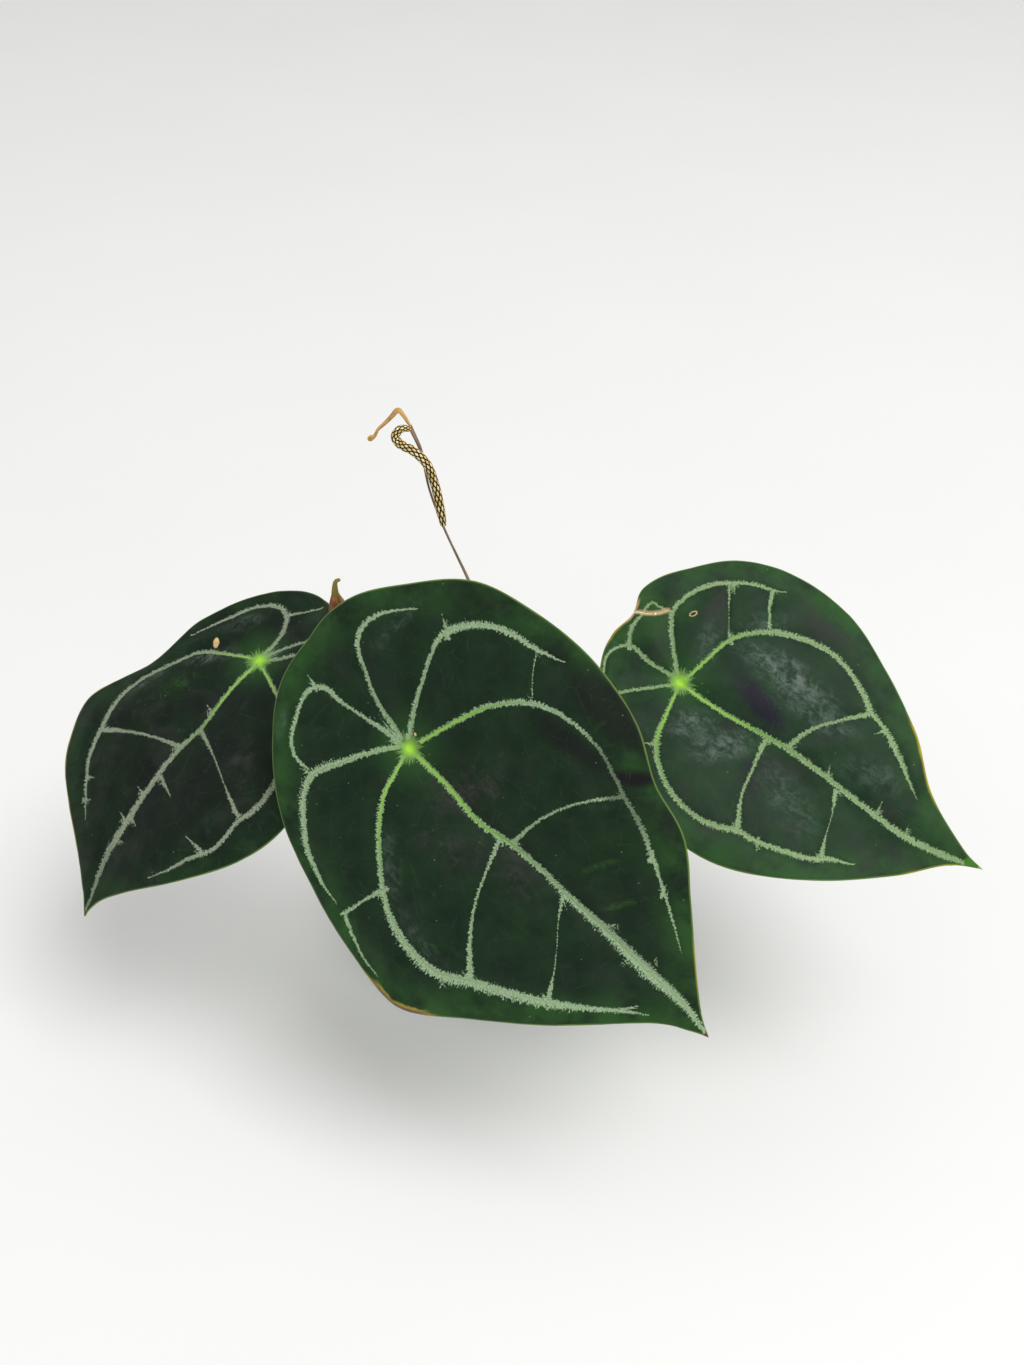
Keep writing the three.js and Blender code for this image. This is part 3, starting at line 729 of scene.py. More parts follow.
def panelColour(paint, flat, rim, fromHub, own):
    # Deep velvet between the veins, a fresher green towards the margin and round the hub,
    # purplish grey patches of painted velvet sheen, strokes of painted shade and streaks of
    # painted sheen and gloss
    broad = paint.noise(flat, 0.035, 3)
    cloudy = paint.noise(flat, 0.06, 5, 0.6)
    patchy = paint.noise(flat, 0.045, 4, 0.6, 0.4)
    colour = paint.mix(cloudy.between(0.25, 0.75), *own["velvet"])
    # Purplish grey patches: painted velvet sheen
    colour = paint.mix(patchy.between(0.5, 0.68) * own["mauveSheen"], colour, hue(44, 46, 43))
    fresh = rim.between(22, 1) * (broad * 0.6 + cloudy * 0.6).between(0.42, 0.74)
    colour = paint.mix(fresh * own["fresh"], colour, hue(48, 90, 38))
    colour = paint.mix(fromHub.between(24, 4) * 0.5, colour, hue(44, 88, 36))
    # Painted shade: soft dark strokes where the blade turns away from the light
    for start, end, halfWidth, tint, strength in own["shadeStrokes"]:
        gap = strokeOn(paint, flat, start, end, halfWidth * 1.15) + (patchy - 0.5) * 0.8
        colour = paint.mix(gap.between(1, 0.2) * strength, colour, tint)
    # Painted sheen and gloss, mostly pale grey and purplish, broken into fine streaks
    fibres = paint.noise(paint.stretch(flat, 0.09, 0.5, 1), 1, 6, 0.7, 1.2)
    wisps = paint.noise(flat, 0.16, 5, 0.7, 0.8)
    sheenStreaks = (fibres * 0.4 + wisps * 0.7).between(0.45, 0.8)
    for start, end, halfWidth, tint, strength in own["sheen"]:
        gap = strokeOn(paint, flat, start, end, halfWidth * 1.7)
        colour = paint.mix(gap.between(1, 0.1) * sheenStreaks * strength, colour, tint)
    warped = paint.mix(0.3, flat, paint.noise(flat, 0.12, 2).other("Color"), "ADD")
    net = paint.cells(warped, 0.09, "DISTANCE_TO_EDGE").between(0.04, 0.0) * wisps.between(0.4, 0.7)
    return paint.mix(net * 0.12, colour, hue(74, 104, 72)), cloudy, net


def veinColour(paint, flat, fromHub, comb, own):
    # Feathered silver bands, with a lime core where they leave the hub
    side, _, half = paint.parts(paint.attribute("vein"))
    distance, _, tone = paint.parts(paint.attribute("extent"))
    away = abs(side).atLeast(distance - 1.2)
    ragged = paint.noise(flat, 1.1, 3, 0.6)
    tooth = (comb - 0.5) * (half * 2.2 + 1.8) + (ragged - 0.5) * (1.2 + half * 0.7)
    inside = (half * 0.72 + tooth - away).between(-0.12, 0.16)
    band = paint.mix(ragged.between(0.3, 0.7), *own["silver"])
    greener = tone.between(0.4, 1) * 0.5
    band = paint.mix(greener, band, hue(112, 158, 74))
    core = (half * 0.27 + (ragged - 0.5) * 0.4 - away).between(-0.2, 0.2)
    lime = paint.mix(fromHub.between(10, 70), hue(140, 190, 70), hue(98, 146, 56))
    band = paint.mix(core * tone.between(0.5, 0.8), band, lime)
    line = away.between(0.45, 0.1) * tone.between(-0.2, 0.3) * (1 - core * tone.between(0.5, 0.8))
    return inside, paint.mix(line * 0.4, band, hue(92, 122, 70))


def bladePaint(name, own):
    # The velvety upper face
    paint = Paint(f"leaf_velvet_{name}", hue(28, 50, 32))
    side, reached, _ = paint.parts(paint.attribute("vein"))
    rim = paint.parts(paint.attribute("extent"))[1]
    flat = paint.attribute("flat")
    fromHub = paint.length(flat)
    comb = paint.noise(paint.vector(reached * 1.5, side * 0.4), 1, 3, 0.7)
    colour, cloudy, net = panelColour(paint, flat, rim, fromHub, own)
    inside, band = veinColour(paint, flat, fromHub, comb, own)
    colour = paint.mix(inside, colour, band)
    # Painted shade on the veins, where the blade turns away from the light
    for start, end, halfWidth, strength in own["veinShade"]:
        gap = strokeOn(paint, flat, start, end, halfWidth)
        colour = paint.mix(gap.between(1, 0.4) * inside * strength, colour, hue(62, 70, 58))

    # The hub's star of short pale hairs
    heading = paint.node("VectorMath", {"operation": "NORMALIZE"}, {0: flat})
    rays = paint.noise(paint.stretch(heading, 9, 9, 1), 1, 3, 0.7)
    star = (6.5 + (rays - 0.5) * 16 - fromHub).between(-0.6, 1.6)
    colour = paint.mix(star * 0.75, colour, hue(120, 160, 84))
    colour = paint.mix(fromHub.between(5, 1.8), colour, hue(142, 196, 62))
    colour = paint.mix(fromHub.between(2.6, 1), colour, hue(160, 214, 72))

    # Pale flecks, the thin pale margin, yellowed edges and spots
    flecks = paint.cells(flat, 0.2)
    lucky = paint.parts(flecks.other("Color"))[0].between(0.8, 0.82)
    colour = paint.mix(flecks.between(0.07, 0.03) * lucky * 0.7, colour, hue(138, 156, 116))
    edge = (rim + (cloudy - 0.5) * 1.2).between(0.9, 0.2)
    colour = paint.mix(edge * 0.7, colour, hue(116, 144, 68))
    for start, end, reach, tint in own["edges"]:
        nearby = strokeOn(paint, flat, start, end, 9).between(1, 0.5)
        lost = (reach + (cloudy - 0.5) * reach * 2.5 - rim).between(-0.8, 0.8)
        colour = paint.mix(nearby * lost * 0.9, colour, tint)
    for place, halfLength, halfWidth, turn, spotHue in own["spots"]:
        gap = strokeOn(paint, flat, place, place, halfWidth, halfLength, turn)
        colour = paint.mix((gap + (comb - 0.5) * 0.7).between(1, 0.8), colour, spotHue)

    velvet = paint.noise(flat, 3.2, 2, 0.7)
    relief = velvet * 0.4 + inside * 0.6 - net * 0.3
    return paint.finish(
        colour=colour,
        roughness=0.5 + (cloudy - 0.5) * 0.25 + inside * 0.08,
        specular=0.12,
        sheen=0.03,
        sheenRoughness=0.4,
        sheenTint=hue(190, 205, 200),
        normal=paint.bump(relief, 0.3, 0.0004),
    )


def undersidePaint():
    # Paler, matt green with lighter ribs and a red-brown cast near the margin
    paint = Paint("leaf_underside", hue(84, 108, 66))
    distance, rim, _ = paint.parts(paint.attribute("extent"))
    half = paint.parts(paint.attribute("vein"))[2]
    flat = paint.attribute("flat")
    cloudy = paint.noise(flat, 0.08, 4, 0.6)
    net = paint.cells(flat, 0.15, "DISTANCE_TO_EDGE").between(0.06, 0.0)
    colour = paint.mix(cloudy.between(0.3, 0.7), hue(66, 92, 54), hue(92, 118, 70))
    colour = paint.mix(net * 0.35, colour, hue(126, 150, 96))
    colour = paint.mix(rim.between(9, 1) * 0.6, colour, hue(98, 78, 66))
    colour = paint.mix((half - distance).between(-1.2, 0.4), colour, hue(142, 164, 104))
    relief = net * 0.5 + paint.noise(flat, 2.4, 2) * 0.3
    return paint.finish(
        colour=colour,
        roughness=0.6 + (cloudy - 0.5) * 0.2,
        specular=0.35,
        normal=paint.bump(relief, 0.4, 0.0004),
    )


def rimPaint():
    paint = Paint("leaf_margin", hue(150, 168, 92))
    place = paint.objectPlace()
    patchy = paint.noise(place, 60, 3, 0.6)
    colour = paint.ramp(
        patchy,
        (0.3, hue(96, 118, 60)),
        (0.5, hue(122, 142, 72)),
        (0.68, hue(150, 134, 64)),
        (0.8, hue(120, 84, 52)),
    )
    relief = paint.noise(place, 900, 2)
    return paint.finish(colour=colour, roughness=0.55, normal=paint.bump(relief, 0.2, 0.0002))


underside = undersidePaint()
rimFinish = rimPaint()
for leafName, leaf in leaves.items():
    face = bladePaint(leafName, marks[leafName])
    makeBlade(leafName, leaf, [face, underside, rimFinish])
print("blades made")


# Leaf stalks: slender and ridged, with a swollen joint under the blade
petiole = {
    "stalks": {
        "front": [(-3, -7, 100), (-13, -22, 138), (-28, -44, 182)],
        "right": [(6, -1, 98), (26, 2, 135), (58, 0, 168)],
        "left": [(-6, 1, 98), (-38, 5, 133), (-88, 11, 160)],
    },
    "radii": [5, 3.8, 2.7, 2.4, 2.3, 2.2, 2.2, 3, 2.8],
    "squareOn": 16,
    "under": 0.5,  # it ends this far under the middle of the blade
    "jointFrom": 0.87,
    "cells": (28, 110),
    "ribs": 7,
    "ribDepth": 0.035,
    "channel": 0.1,  # the groove along the upper side, deepest at the foot
    "wrinkle": 0.03,
    "wrinkleTurn": 3.2,  # radians for each millimetre of the joint
}


def petioleShape(share, turn, total):
    ridges = petiole["ribDepth"] * math.sin(petiole["ribs"] * turn + 3 * share)
    ridges += 0.02 * noise.noise((math.cos(turn), math.sin(turn), share * total / 9))
    channel = petiole["channel"] * math.exp(-(((turn - math.pi / 2) / 0.5) ** 2)) * (1 - share)
    wrinkles = petiole["wrinkle"] * math.sin(share * total * petiole["wrinkleTurn"])
    return 1 + ridges - channel + wrinkles * (share > petiole["jointFrom"])


def petiolePaint():
    paint = Paint("petiole_skin", hue(77, 107, 47))
    skin = paint.attribute("skin")
    reached = paint.parts(skin)[2]
    fibres = paint.noise(paint.stretch(skin, 1.6, 1.6, 0.05), 1, 4, 0.6)
    blotches = paint.noise(paint.stretch(skin, 0.5, 0.5, 0.12), 1, 3)
    colour = paint.mix(fibres.between(0.3, 0.7), hue(64, 86, 40), hue(104, 128, 62))
    colour = paint.mix(blotches.between(0.52, 0.7) * 0.6, colour, hue(92, 62, 50))
    colour = paint.mix(reached.between(46, 4) * 0.75, colour, hue(104, 74, 56))
    dots = paint.cells(skin, 1.1).between(0.26, 0.12)
    colour = paint.mix(dots * 0.3, colour, hue(150, 160, 104))
    relief = fibres + paint.noise(skin, 2.6, 2) * 0.3
    return paint.finish(
        colour=colour,
        roughness=0.42 + (blotches - 0.5) * 0.3,
        specular=0.4,
        normal=paint.bump(relief, 0.35, 0.0004),
    )


petioleFinish = petiolePaint()
for leafName, leaf in leaves.items():
    faceOut = leafFrame(leaf)[:, 2]
    hub = np.array(leaf["hub"])
    ends = [hub - depth * faceOut for depth in (petiole["squareOn"], petiole["under"])]
    bm = bmesh.new()
    path = [*petiole["stalks"][leafName], *ends]
    makeTube(bm, path, petiole["radii"], petiole["cells"], petioleShape)
    newPiece(f"stalk_{leafName}", bm, [petioleFinish], f"petiole_{leafName}")
print("petioles made")


# Spent inflorescence: a wiry dry stalk, a bent seed-set spadix and a dried ribbon of a spathe
oldFlower = {
    "peduncle": [
        (-1, 5, 108), (-3, 15, 160), (-9, 18, 212), (-22, 18, 250), (-35, 18, 285),
        (-41, 18, 306), (-44, 18, 326), (-49, 18, 340),
    ],
    "peduncleRadii": [1.7, 1.4, 1.1, 0.9, 0.9, 0.6, 0.55, 1.1],
    "spadix": [
        (-48.8, 17.4, 339), (-53.5, 16, 339.2), (-56, 15.4, 335.6), (-54, 15, 332),
        (-47.6, 14.3, 328.5), (-41.4, 14.3, 321.3), (-37.5, 14.3, 308.5), (-35.5, 14.3, 295),
        (-34.3, 14.3, 287),
    ],
    "spadixRadii": [1.3, 1.9, 2, 2, 2, 2, 2, 2, 2, 1.4],
    "tepalsAround": 7,
    "tepalPitch": 1.3,
    "tepalStretch": 1.6,
    "tepalRelief": 0.3,
    "peduncleCells": (16, 220),  # round the tube and along it
    "spadixCells": (56, 840),
    "spatheCells": (10, 120),
    "spatheWidths": [0.45, 0.75, 1.1, 0.9, 0.65, 0.6, 0.8, 0.35],
    "spathe": [
        (-48.8, 18.4, 339.6), (-51.5, 19, 344.4), (-54.4, 19.6, 347.4), (-57.4, 20, 344.3),
        (-61, 21, 340), (-64.5, 21, 336.7), (-66.6, 21, 333), (-68.4, 20.2, 331.6),
        (-69, 18.8, 333), (-67.6, 18.2, 334.4), (-66.6, 19.2, 333.4),
    ],
    "spatheWidth": 2.3,
    "spatheThickness": 0.35,
    "spatheCup": 2.4,
    "spatheCrumple": 0.45,
    "spatheFront": (0.2, -1, 0.35),
}


def dryStalkShape(share, turn, total):
    place = (math.cos(turn), math.sin(turn), share * total / 7)
    furrows = 0.06 * math.sin(5 * turn + 2 * share) + 0.05 * noise.noise(place)
    return 1 + furrows


def dryStalkPaint():
    paint = Paint("dry_stalk_skin", hue(100, 80, 64))
    skin = paint.attribute("skin")
    reached = paint.parts(skin)[2]
    fibres = paint.noise(paint.stretch(skin, 2.5, 2.5, 0.09), 1, 4, 0.65)
    colour = paint.mix(fibres.between(0.3, 0.7), hue(96, 76, 62), hue(158, 138, 116))
    colour = paint.mix(reached.between(60, 10) * 0.5, colour, hue(92, 96, 56))
    colour = paint.mix(reached.between(236, 242), colour, hue(160, 92, 42))
    return paint.finish(
        colour=colour, roughness=0.72, specular=0.3, normal=paint.bump(fibres, 0.5, 0.0003)
    )


def tepalRow(share, total):
    # Rows are packed closely at the foot and drawn out towards the tip
    stretch = oldFlower["tepalStretch"]
    return total * math.log(1 + stretch * share) / (2 * stretch * oldFlower["tepalPitch"])


def tepalAt(share, turn, total):
    # How deep inside its tepal a place on the spadix lies, 0 at the seams to 0.5
    around = oldFlower["tepalsAround"] * turn / fullTurn
    rows = tepalRow(share, total)
    return 0.5 - max(abs(line - round(line)) for line in (around + rows, around - rows))


def tepalShape(share, turn, total):
    swell = min(tepalAt(share, turn, total) / 0.25, 1)
    return 1 + oldFlower["tepalRelief"] * (math.sin(swell * math.pi / 2) - 0.5)


def spadixPaint():
    paint = Paint("spadix_tepals", hue(168, 140, 76))
    inside, shade, _ = paint.parts(paint.attribute("tepal"))
    place = paint.objectPlace()
    mottle = paint.noise(place, 900, 3)
    broad = paint.noise(place, 70, 2)
    tepal = paint.mix(shade, hue(222, 186, 108), hue(255, 242, 190))
    tepal = paint.mix(mottle.between(0.45, 0.8) * 0.3, tepal, hue(130, 98, 46))
    seam = inside.between(0.24, 0.13)
    colour = paint.mix(seam, tepal, hue(34, 19, 7))
    colour = paint.mix(broad.between(0.6, 0.75) * 0.3, colour, hue(58, 44, 26))
    return paint.finish(
        colour=colour, roughness=0.6, specular=0.15, normal=paint.bump(mottle, 0.3, 0.0002)
    )


def markTepals(bm):
    # Each tepal's depth and its own shade, for its colour
    skin = bm.verts.layers.float_vector["skin"]
    tepal = bm.verts.layers.float_vector.new("tepal")
    total = max(vert[skin].z for vert in bm.verts)
    count = oldFlower["tepalsAround"]
    for vert in bm.verts:
        turn = math.atan2(vert[skin].y, vert[skin].x)
        share = vert[skin].z / total
        around = count * turn / fullTurn
        rows = tepalRow(share, total)
        first, second = round(around + rows), round(around - rows)
        shade = noise.cell(((first - second) * 1.37, (first + second) % (2 * count) * 2.11, 5))
        vert[tepal] = (tepalAt(share, turn, total), 0.5 + 0.5 * shade, 0)


bm = bmesh.new()
makeTube(bm, oldFlower["peduncle"], oldFlower["peduncleRadii"], oldFlower["peduncleCells"],
         dryStalkShape)
newPiece("old_flower_stalk", bm, [dryStalkPaint()], "peduncle_old")

bm = bmesh.new()
makeTube(bm, oldFlower["spadix"], oldFlower["spadixRadii"], oldFlower["spadixCells"], tepalShape)
markTepals(bm)
newPiece("old_spadix", bm, [spadixPaint()], "spadix_old")


def makeRibbon(bm, path, width, widths, front, cells):
    # A cupped, wrinkled ribbon on a smooth curve, narrow at its foot
    columns, rows = cells
    line = spread(smoothThrough(path), np.linspace(0, 1, rows + 1))
    front = Vector(front).normalized()
    bmesh.ops.create_grid(bm, x_segments=columns, y_segments=rows, size=0.5)
    skin = bm.verts.layers.float_vector.new("skin")
    total = lengthsAlong(line)[-1]
    headings = [Vector(step).normalized() for step in np.gradient(line, axis=0)]
    for vert in bm.verts:
        across, share = vert.co.x, vert.co.y + 0.5
        row = round(share * rows)
        sideways = headings[row].cross(front).normalized()
        outward = sideways.cross(headings[row])
        reach = width * along(widths, share)
        crumple = oldFlower["spatheCrumple"] * noise.noise((across * 3, share * total / 3, 1))
        cup = oldFlower["spatheCup"] * (across * across - 0.25) * (1 - 0.6 * share)
        vert[skin] = (across * reach, 0, share * total)
        vert.co = Vector(line[row]) + sideways * (across * reach) + outward * (crumple - cup)


def papery(name, dark, middle, pale, bright):
    # Dry plant tissue with long fibres
    paint = Paint(name, middle)
    skin = paint.attribute("skin")
    fibres = paint.noise(paint.stretch(skin, 2.4, 2.4, 0.12), 1, 5, 0.7)
    blotches = paint.noise(skin, 0.22, 4, 0.6)
    colour = paint.ramp(fibres, (0.25, dark), (0.5, middle), (0.72, pale))
    colour = paint.mix(blotches.between(0.45, 0.65) * 0.7, colour, bright)
    return paint.finish(
        colour=colour, roughness=0.75, specular=0.3, normal=paint.bump(fibres, 0.6, 0.0004)
    )


def thicken(piece, thickness):
    solid = piece.modifiers.new("thickness", "SOLIDIFY")
    solid.thickness = thickness * mm
    solid.offset = 0


bm = bmesh.new()
makeRibbon(bm, oldFlower["spathe"], oldFlower["spatheWidth"], oldFlower["spatheWidths"],
           oldFlower["spatheFront"], oldFlower["spatheCells"])
spathePaint = papery("dry_spathe_skin", hue(104, 70, 38), hue(206, 164, 98), hue(236, 206, 146),
                     hue(184, 134, 70))
thicken(newPiece("old_spathe", bm, [spathePaint], "spathe_old"),
        oldFlower["spatheThickness"])


# Young inflorescence: a fresh stalk and the closed bract, drawn out to a hooked tip
youngFlower = {
    "peduncle": [(-6, -1, 108), (-28, -8, 150), (-57, -15, 190), (-74, -20, 229)],
    "peduncleRadii": [2.4, 1.9, 1.7, 1.9],
    "bract": [
        (-74.2, -20, 229.4), (-80, -22, 246), (-84.5, -24, 260), (-85.6, -24, 268),
        (-85.7, -24, 275), (-84.9, -24, 278.8), (-83, -24, 279.7),
    ],
    "bractRadii": [1.9, 2.1, 2.3, 2.5, 2.9, 3.4, 4.2, 4.8, 3.6, 1.8, 1.2, 0.7],
    "peduncleCells": (24, 110),
    "bractCells": (64, 130),
    "wrap": 0.12,  # the overlapping edge stands this share of the radius proud
    "keel": 0.14,
    "folds": 0.05,
}


def bractShape(share, turn, total):
    seam = (turn / fullTurn + 0.25 + 0.35 * share) % 1
    overlap = youngFlower["wrap"] * (seam - 0.5)
    keel = youngFlower["keel"] * math.exp(-(((turn + 1.2) / 0.16) ** 2))
    folds = math.sin(9 * turn + 4 * share) + noise.noise((turn * 2, share * 9, 2))
    return 1 + overlap + keel + youngFlower["folds"] * folds


def bractPaint():
    paint = Paint("young_bract_skin", hue(110, 72, 40))
    skin = paint.attribute("skin")
    reached = paint.parts(skin)[2]
    fibres = paint.noise(paint.stretch(skin, 0.9, 0.9, 0.06), 1, 5, 0.65)
    colour = paint.ramp(
        fibres,
        (0.28, hue(62, 40, 20)),
        (0.45, hue(112, 66, 30)),
        (0.6, hue(150, 94, 48)),
        (0.75, hue(190, 146, 92)),
    )
    olive = paint.mix(fibres, hue(74, 68, 16), hue(150, 140, 60))
    side = paint.parts(skin)[0] + (fibres - 0.5) * 3
    colour = paint.mix(side.between(0.4, 1.8) * 0.7, colour, olive)
    colour = paint.mix(reached.between(41, 47), colour, olive)
    colour = paint.mix(reached.between(22, 6) * 0.8, colour, hue(92, 98, 48))
    return paint.finish(
        colour=colour, roughness=0.58, specular=0.35, normal=paint.bump(fibres, 0.5, 0.0004)
    )


bm = bmesh.new()
makeTube(bm, youngFlower["peduncle"], youngFlower["peduncleRadii"],
         youngFlower["peduncleCells"], petioleShape)
newPiece("young_flower_stalk", bm, [petioleFinish], "peduncle_young")
bm = bmesh.new()
makeTube(bm, youngFlower["bract"], youngFlower["bractRadii"], youngFlower["bractCells"],
         bractShape)
newPiece("young_bract", bm, [bractPaint()], "spathe_young")
print("inflorescences made")


# Crown: the short ringed stem with stubs of roots, and the dry sheaths round it
stem = {
    "profile": [
        (0, 68), (7, 69), (9.5, 78), (10, 98), (10.6, 101), (9.4, 103), (9.6, 107), (8, 112),
        (4, 117), (0, 118),
    ],
    "sides": 72,
    "rootTurns": [22, 52, 86, 118, 302],
    "root": [(7, 0, 98), (11.4, 0, 96.8), (13.3, 0, 94.2)],
    "rootRadii": [1.8, 1.7, 1.5, 1.1, 0.5],
    "rootCells": (16, 24),
    "rings": 0.35,
    "lumps": 0.7,
}


def makeStem(bm):
    outline = smoothThrough([(radius, 0, height) for radius, height in stem["profile"]], each=4)
    turned(bm, [(max(x, 0), z) for x, _, z in outline], stem["sides"])
    skin = bm.verts.layers.float_vector.new("skin")
    for vert in bm.verts:
        turn = math.atan2(vert.co.y, vert.co.x)
        height = vert.co.z
        vert[skin] = vert.co
        rings = stem["rings"] * math.sin(height * 1.5 + 0.6 * math.sin(2 * turn))
        lumps = stem["lumps"] * noise.noise((vert.co.x / 4, vert.co.y / 4, height / 5))
        vert.co += Vector((math.cos(turn), math.sin(turn), 0)) * (rings + lumps)
    for turn in stem["rootTurns"]:
        root = bmesh.new()
        makeTube(root, stem["root"], stem["rootRadii"], stem["rootCells"], dryStalkShape)
        bmesh.ops.rotate(root, verts=root.verts, matrix=Matrix.Rotation(math.radians(turn), 3, "Z"))
        joinInto(bm, root)


def stemPaint():
    paint = Paint("crown_skin", hue(95, 106, 58))
    place = paint.attribute("skin")
    height = paint.parts(place)[2]
    fibres = paint.noise(paint.stretch(place, 0.5, 0.5, 1.3), 1, 5, 0.65)
    colour = paint.ramp(
        fibres,
        (0.3, hue(70, 56, 36)),
        (0.5, hue(104, 96, 56)),
        (0.7, hue(128, 126, 78)),
    )
    colour = paint.mix(height.between(102, 116) * 0.7, colour, hue(96, 118, 58))
    return paint.finish(
        colour=colour, roughness=0.7, specular=0.3, normal=paint.bump(fibres, 0.7, 0.0008)
    )


bm = bmesh.new()
makeStem(bm)
newPiece("crown", bm, [stemPaint()], "stem")

cataphylls = [
    {"turn": 60, "height": 42, "halfWidth": 7.2, "lean": 9},
    {"turn": 121, "height": 30, "halfWidth": 4.4, "lean": 12},
    {"turn": 299, "height": 34, "halfWidth": 3.8, "lean": 10},
]
sheath = {
    "footRadius": 11.6,
    "footHeight": 99,
    "thickness": 0.35,
    "tipShare": 0.15,
    "taper": 2.5,
    "crumple": 0.6,
    "cells": (24, 60),
}


def makeCataphyll(bm, size):
    columns, rows = sheath["cells"]
    bmesh.ops.create_grid(bm, x_segments=columns, y_segments=rows, size=0.5)
    skin = bm.verts.layers.float_vector.new("skin")
    for vert in bm.verts:
        across, rise = vert.co.x, vert.co.y + 0.5
        width = size["halfWidth"] * (1 - (1 - sheath["tipShare"]) * rise ** sheath["taper"])
        frayed = 1 + 0.1 * noise.noise((across * 6, size["turn"], 0)) * rise
        crumple = sheath["crumple"] * noise.noise((across * 5, rise * 5, size["turn"]))
        radius = sheath["footRadius"] + size["lean"] * rise**2 + crumple
        angle = math.radians(size["turn"]) - 2 * across * width / sheath["footRadius"]
        height = sheath["footHeight"] + size["height"] * rise * frayed
        vert[skin] = (across * width * 2, 0, height)
        vert.co = (radius * math.cos(angle), radius * math.sin(angle), height)


sheathPaint = papery("dry_sheath_skin", hue(74, 50, 30), hue(128, 94, 58), hue(170, 138, 96),
                     hue(104, 72, 44))
for i, size in enumerate(cataphylls):
    bm = bmesh.new()
    makeCataphyll(bm, size)
    piece = newPiece(f"sheath_{i + 1}", bm, [sheathPaint], f"cataphyll_{i + 1}")
    thicken(piece, sheath["thickness"])
print("crown made")


# Potting mix: a lumpy bed under bark chips, charcoal and perlite
pot = {
    "height": 105,
    "baseRadius": 46,
    "mouthRadius": 60,
    "rimRadius": 62.5,
    "rimDepth": 14,
    "rimStep": 2,
    "wall": 2,
    "floor": 2.5,
    "drainRadius": 4.5,
    "drainRing": 30,
    "drainCount": 6,
    "edge": 0.6,
    "bevelOver": 23,  # degrees between two faces
    "sharpOver": 35,
    "sides": 160,
}
soil = {"top": 92.5, "clearance": 0.4, "cells": 76, "lumps": 1.6, "lumpLengths": (7, 2.6), "seed": 11}
barkChips = {
    "count": 330,
    "size": (9, 5.5, 2.8),
    "scales": (0.45, 1.15),
    "sunk": (-0.5, 2.6),  # its middle lies this far above the bed
    "highest": 97.2,
    "reach": 53,
    "tilt": 0.35,
    "jitter": 0.11,
    "bevel": 0.35,
    "charcoal": 0.13,  # the share of chips that are charcoal
}
grit = {"count": 150, "size": 1.9, "scales": (0.5, 1.2), "sunk": (0.4, 3), "jitter": 0.3}


def makeBed(bm):
    # A round lumpy top, and plain sides that follow the pot's inner wall
    rimFoot = pot["height"] - pot["rimDepth"]
    topRadius = pot["mouthRadius"] - pot["wall"] - soil["clearance"]
    lowRadius = pot["baseRadius"] - pot["wall"] - soil["clearance"]
    broad, fine = soil["lumpLengths"]
    bmesh.ops.create_grid(bm, x_segments=soil["cells"], y_segments=soil["cells"], size=1)
    for vert in bm.verts:
        x, y = vert.co.x, vert.co.y
        x, y = x * math.sqrt(1 - y * y / 2) * topRadius, y * math.sqrt(1 - x * x / 2) * topRadius
        lump = noise.noise((x / broad, y / broad, 4)) + 0.5 * noise.noise((x / fine, y / fine, 8))
        vert.co = (x, y, soil["top"] + soil["lumps"] * lump)
    bottom = pot["floor"] + soil["clearance"]
    for radius, height in ((topRadius, rimFoot - 3), (lowRadius, bottom)):
        rim = [edge for edge in bm.edges if edge.is_boundary]
        grown = bmesh.ops.extrude_edge_only(bm, edges=rim)["geom"]
        for vert in (item for item in grown if isinstance(item, bmesh.types.BMVert)):
            outward = vert.co.xy.normalized() * radius
            vert.co = (*outward, height)
    rim = [edge for edge in bm.edges if edge.is_boundary]
    bmesh.ops.holes_fill(bm, edges=rim)


def makeChips(bm, shade, draw):
    # Broken chips of bark, a few of them charcoal
    for _ in range(barkChips["count"]):
        away = barkChips["reach"] * math.sqrt(draw.uniform(0.05, 1))
        turn = draw.uniform(0, fullTurn)
        scale = [side * draw.uniform(*barkChips["scales"]) for side in barkChips["size"]]
        middle = soil["top"] + draw.uniform(*barkChips["sunk"])
        height = min(middle, barkChips["highest"] - scale[2] / 2)
        most = barkChips["tilt"]
        tilt = Matrix.Rotation(draw.uniform(-most, most), 4, "X")
        lean = Matrix.Rotation(draw.uniform(-most, most), 4, "Y")
        spot = Matrix.Translation((away * math.cos(turn), away * math.sin(turn), height))
        place = spot @ Matrix.Rotation(draw.uniform(0, fullTurn), 4, "Z") @ tilt @ lean
        chip = bmesh.ops.create_cube(bm, size=1, matrix=place @ Matrix.Diagonal((*scale, 1)))
        jolt = barkChips["jitter"]
        for vert in chip["verts"]:
            vert.co += Vector([draw.uniform(-jolt, jolt) * max(scale) for _ in range(3)])
        edges = list({edge for vert in chip["verts"] for edge in vert.link_edges})
        rounded = bmesh.ops.bevel(bm, geom=edges, offset=barkChips["bevel"], affect="EDGES",
                                  segments=1, profile=0.5, material=-1)
        tone = (draw.random(), 1 if draw.random() < barkChips["charcoal"] else 0, 0)
        for vert in {vert for face in rounded["faces"] for vert in face.verts}:
            vert[shade] = tone


def makeGrit(bm, shade, draw):
    # Uneven beads of perlite
    for _ in range(grit["count"]):
        away = barkChips["reach"] * math.sqrt(draw.uniform(0.04, 1))
        turn = draw.uniform(0, fullTurn)
        size = grit["size"] * draw.uniform(*grit["scales"])
        height = soil["top"] + draw.uniform(*grit["sunk"])
        spot = Matrix.Translation((away * math.cos(turn), away * math.sin(turn), height))
        bead = bmesh.ops.create_icosphere(bm, subdivisions=1, radius=size, matrix=spot)
        jolt = grit["jitter"]
        for vert in bead["verts"]:
            vert.co += Vector([draw.uniform(-jolt, jolt) * size for _ in range(3)])
            vert[shade] = (draw.random(), 0, 1)


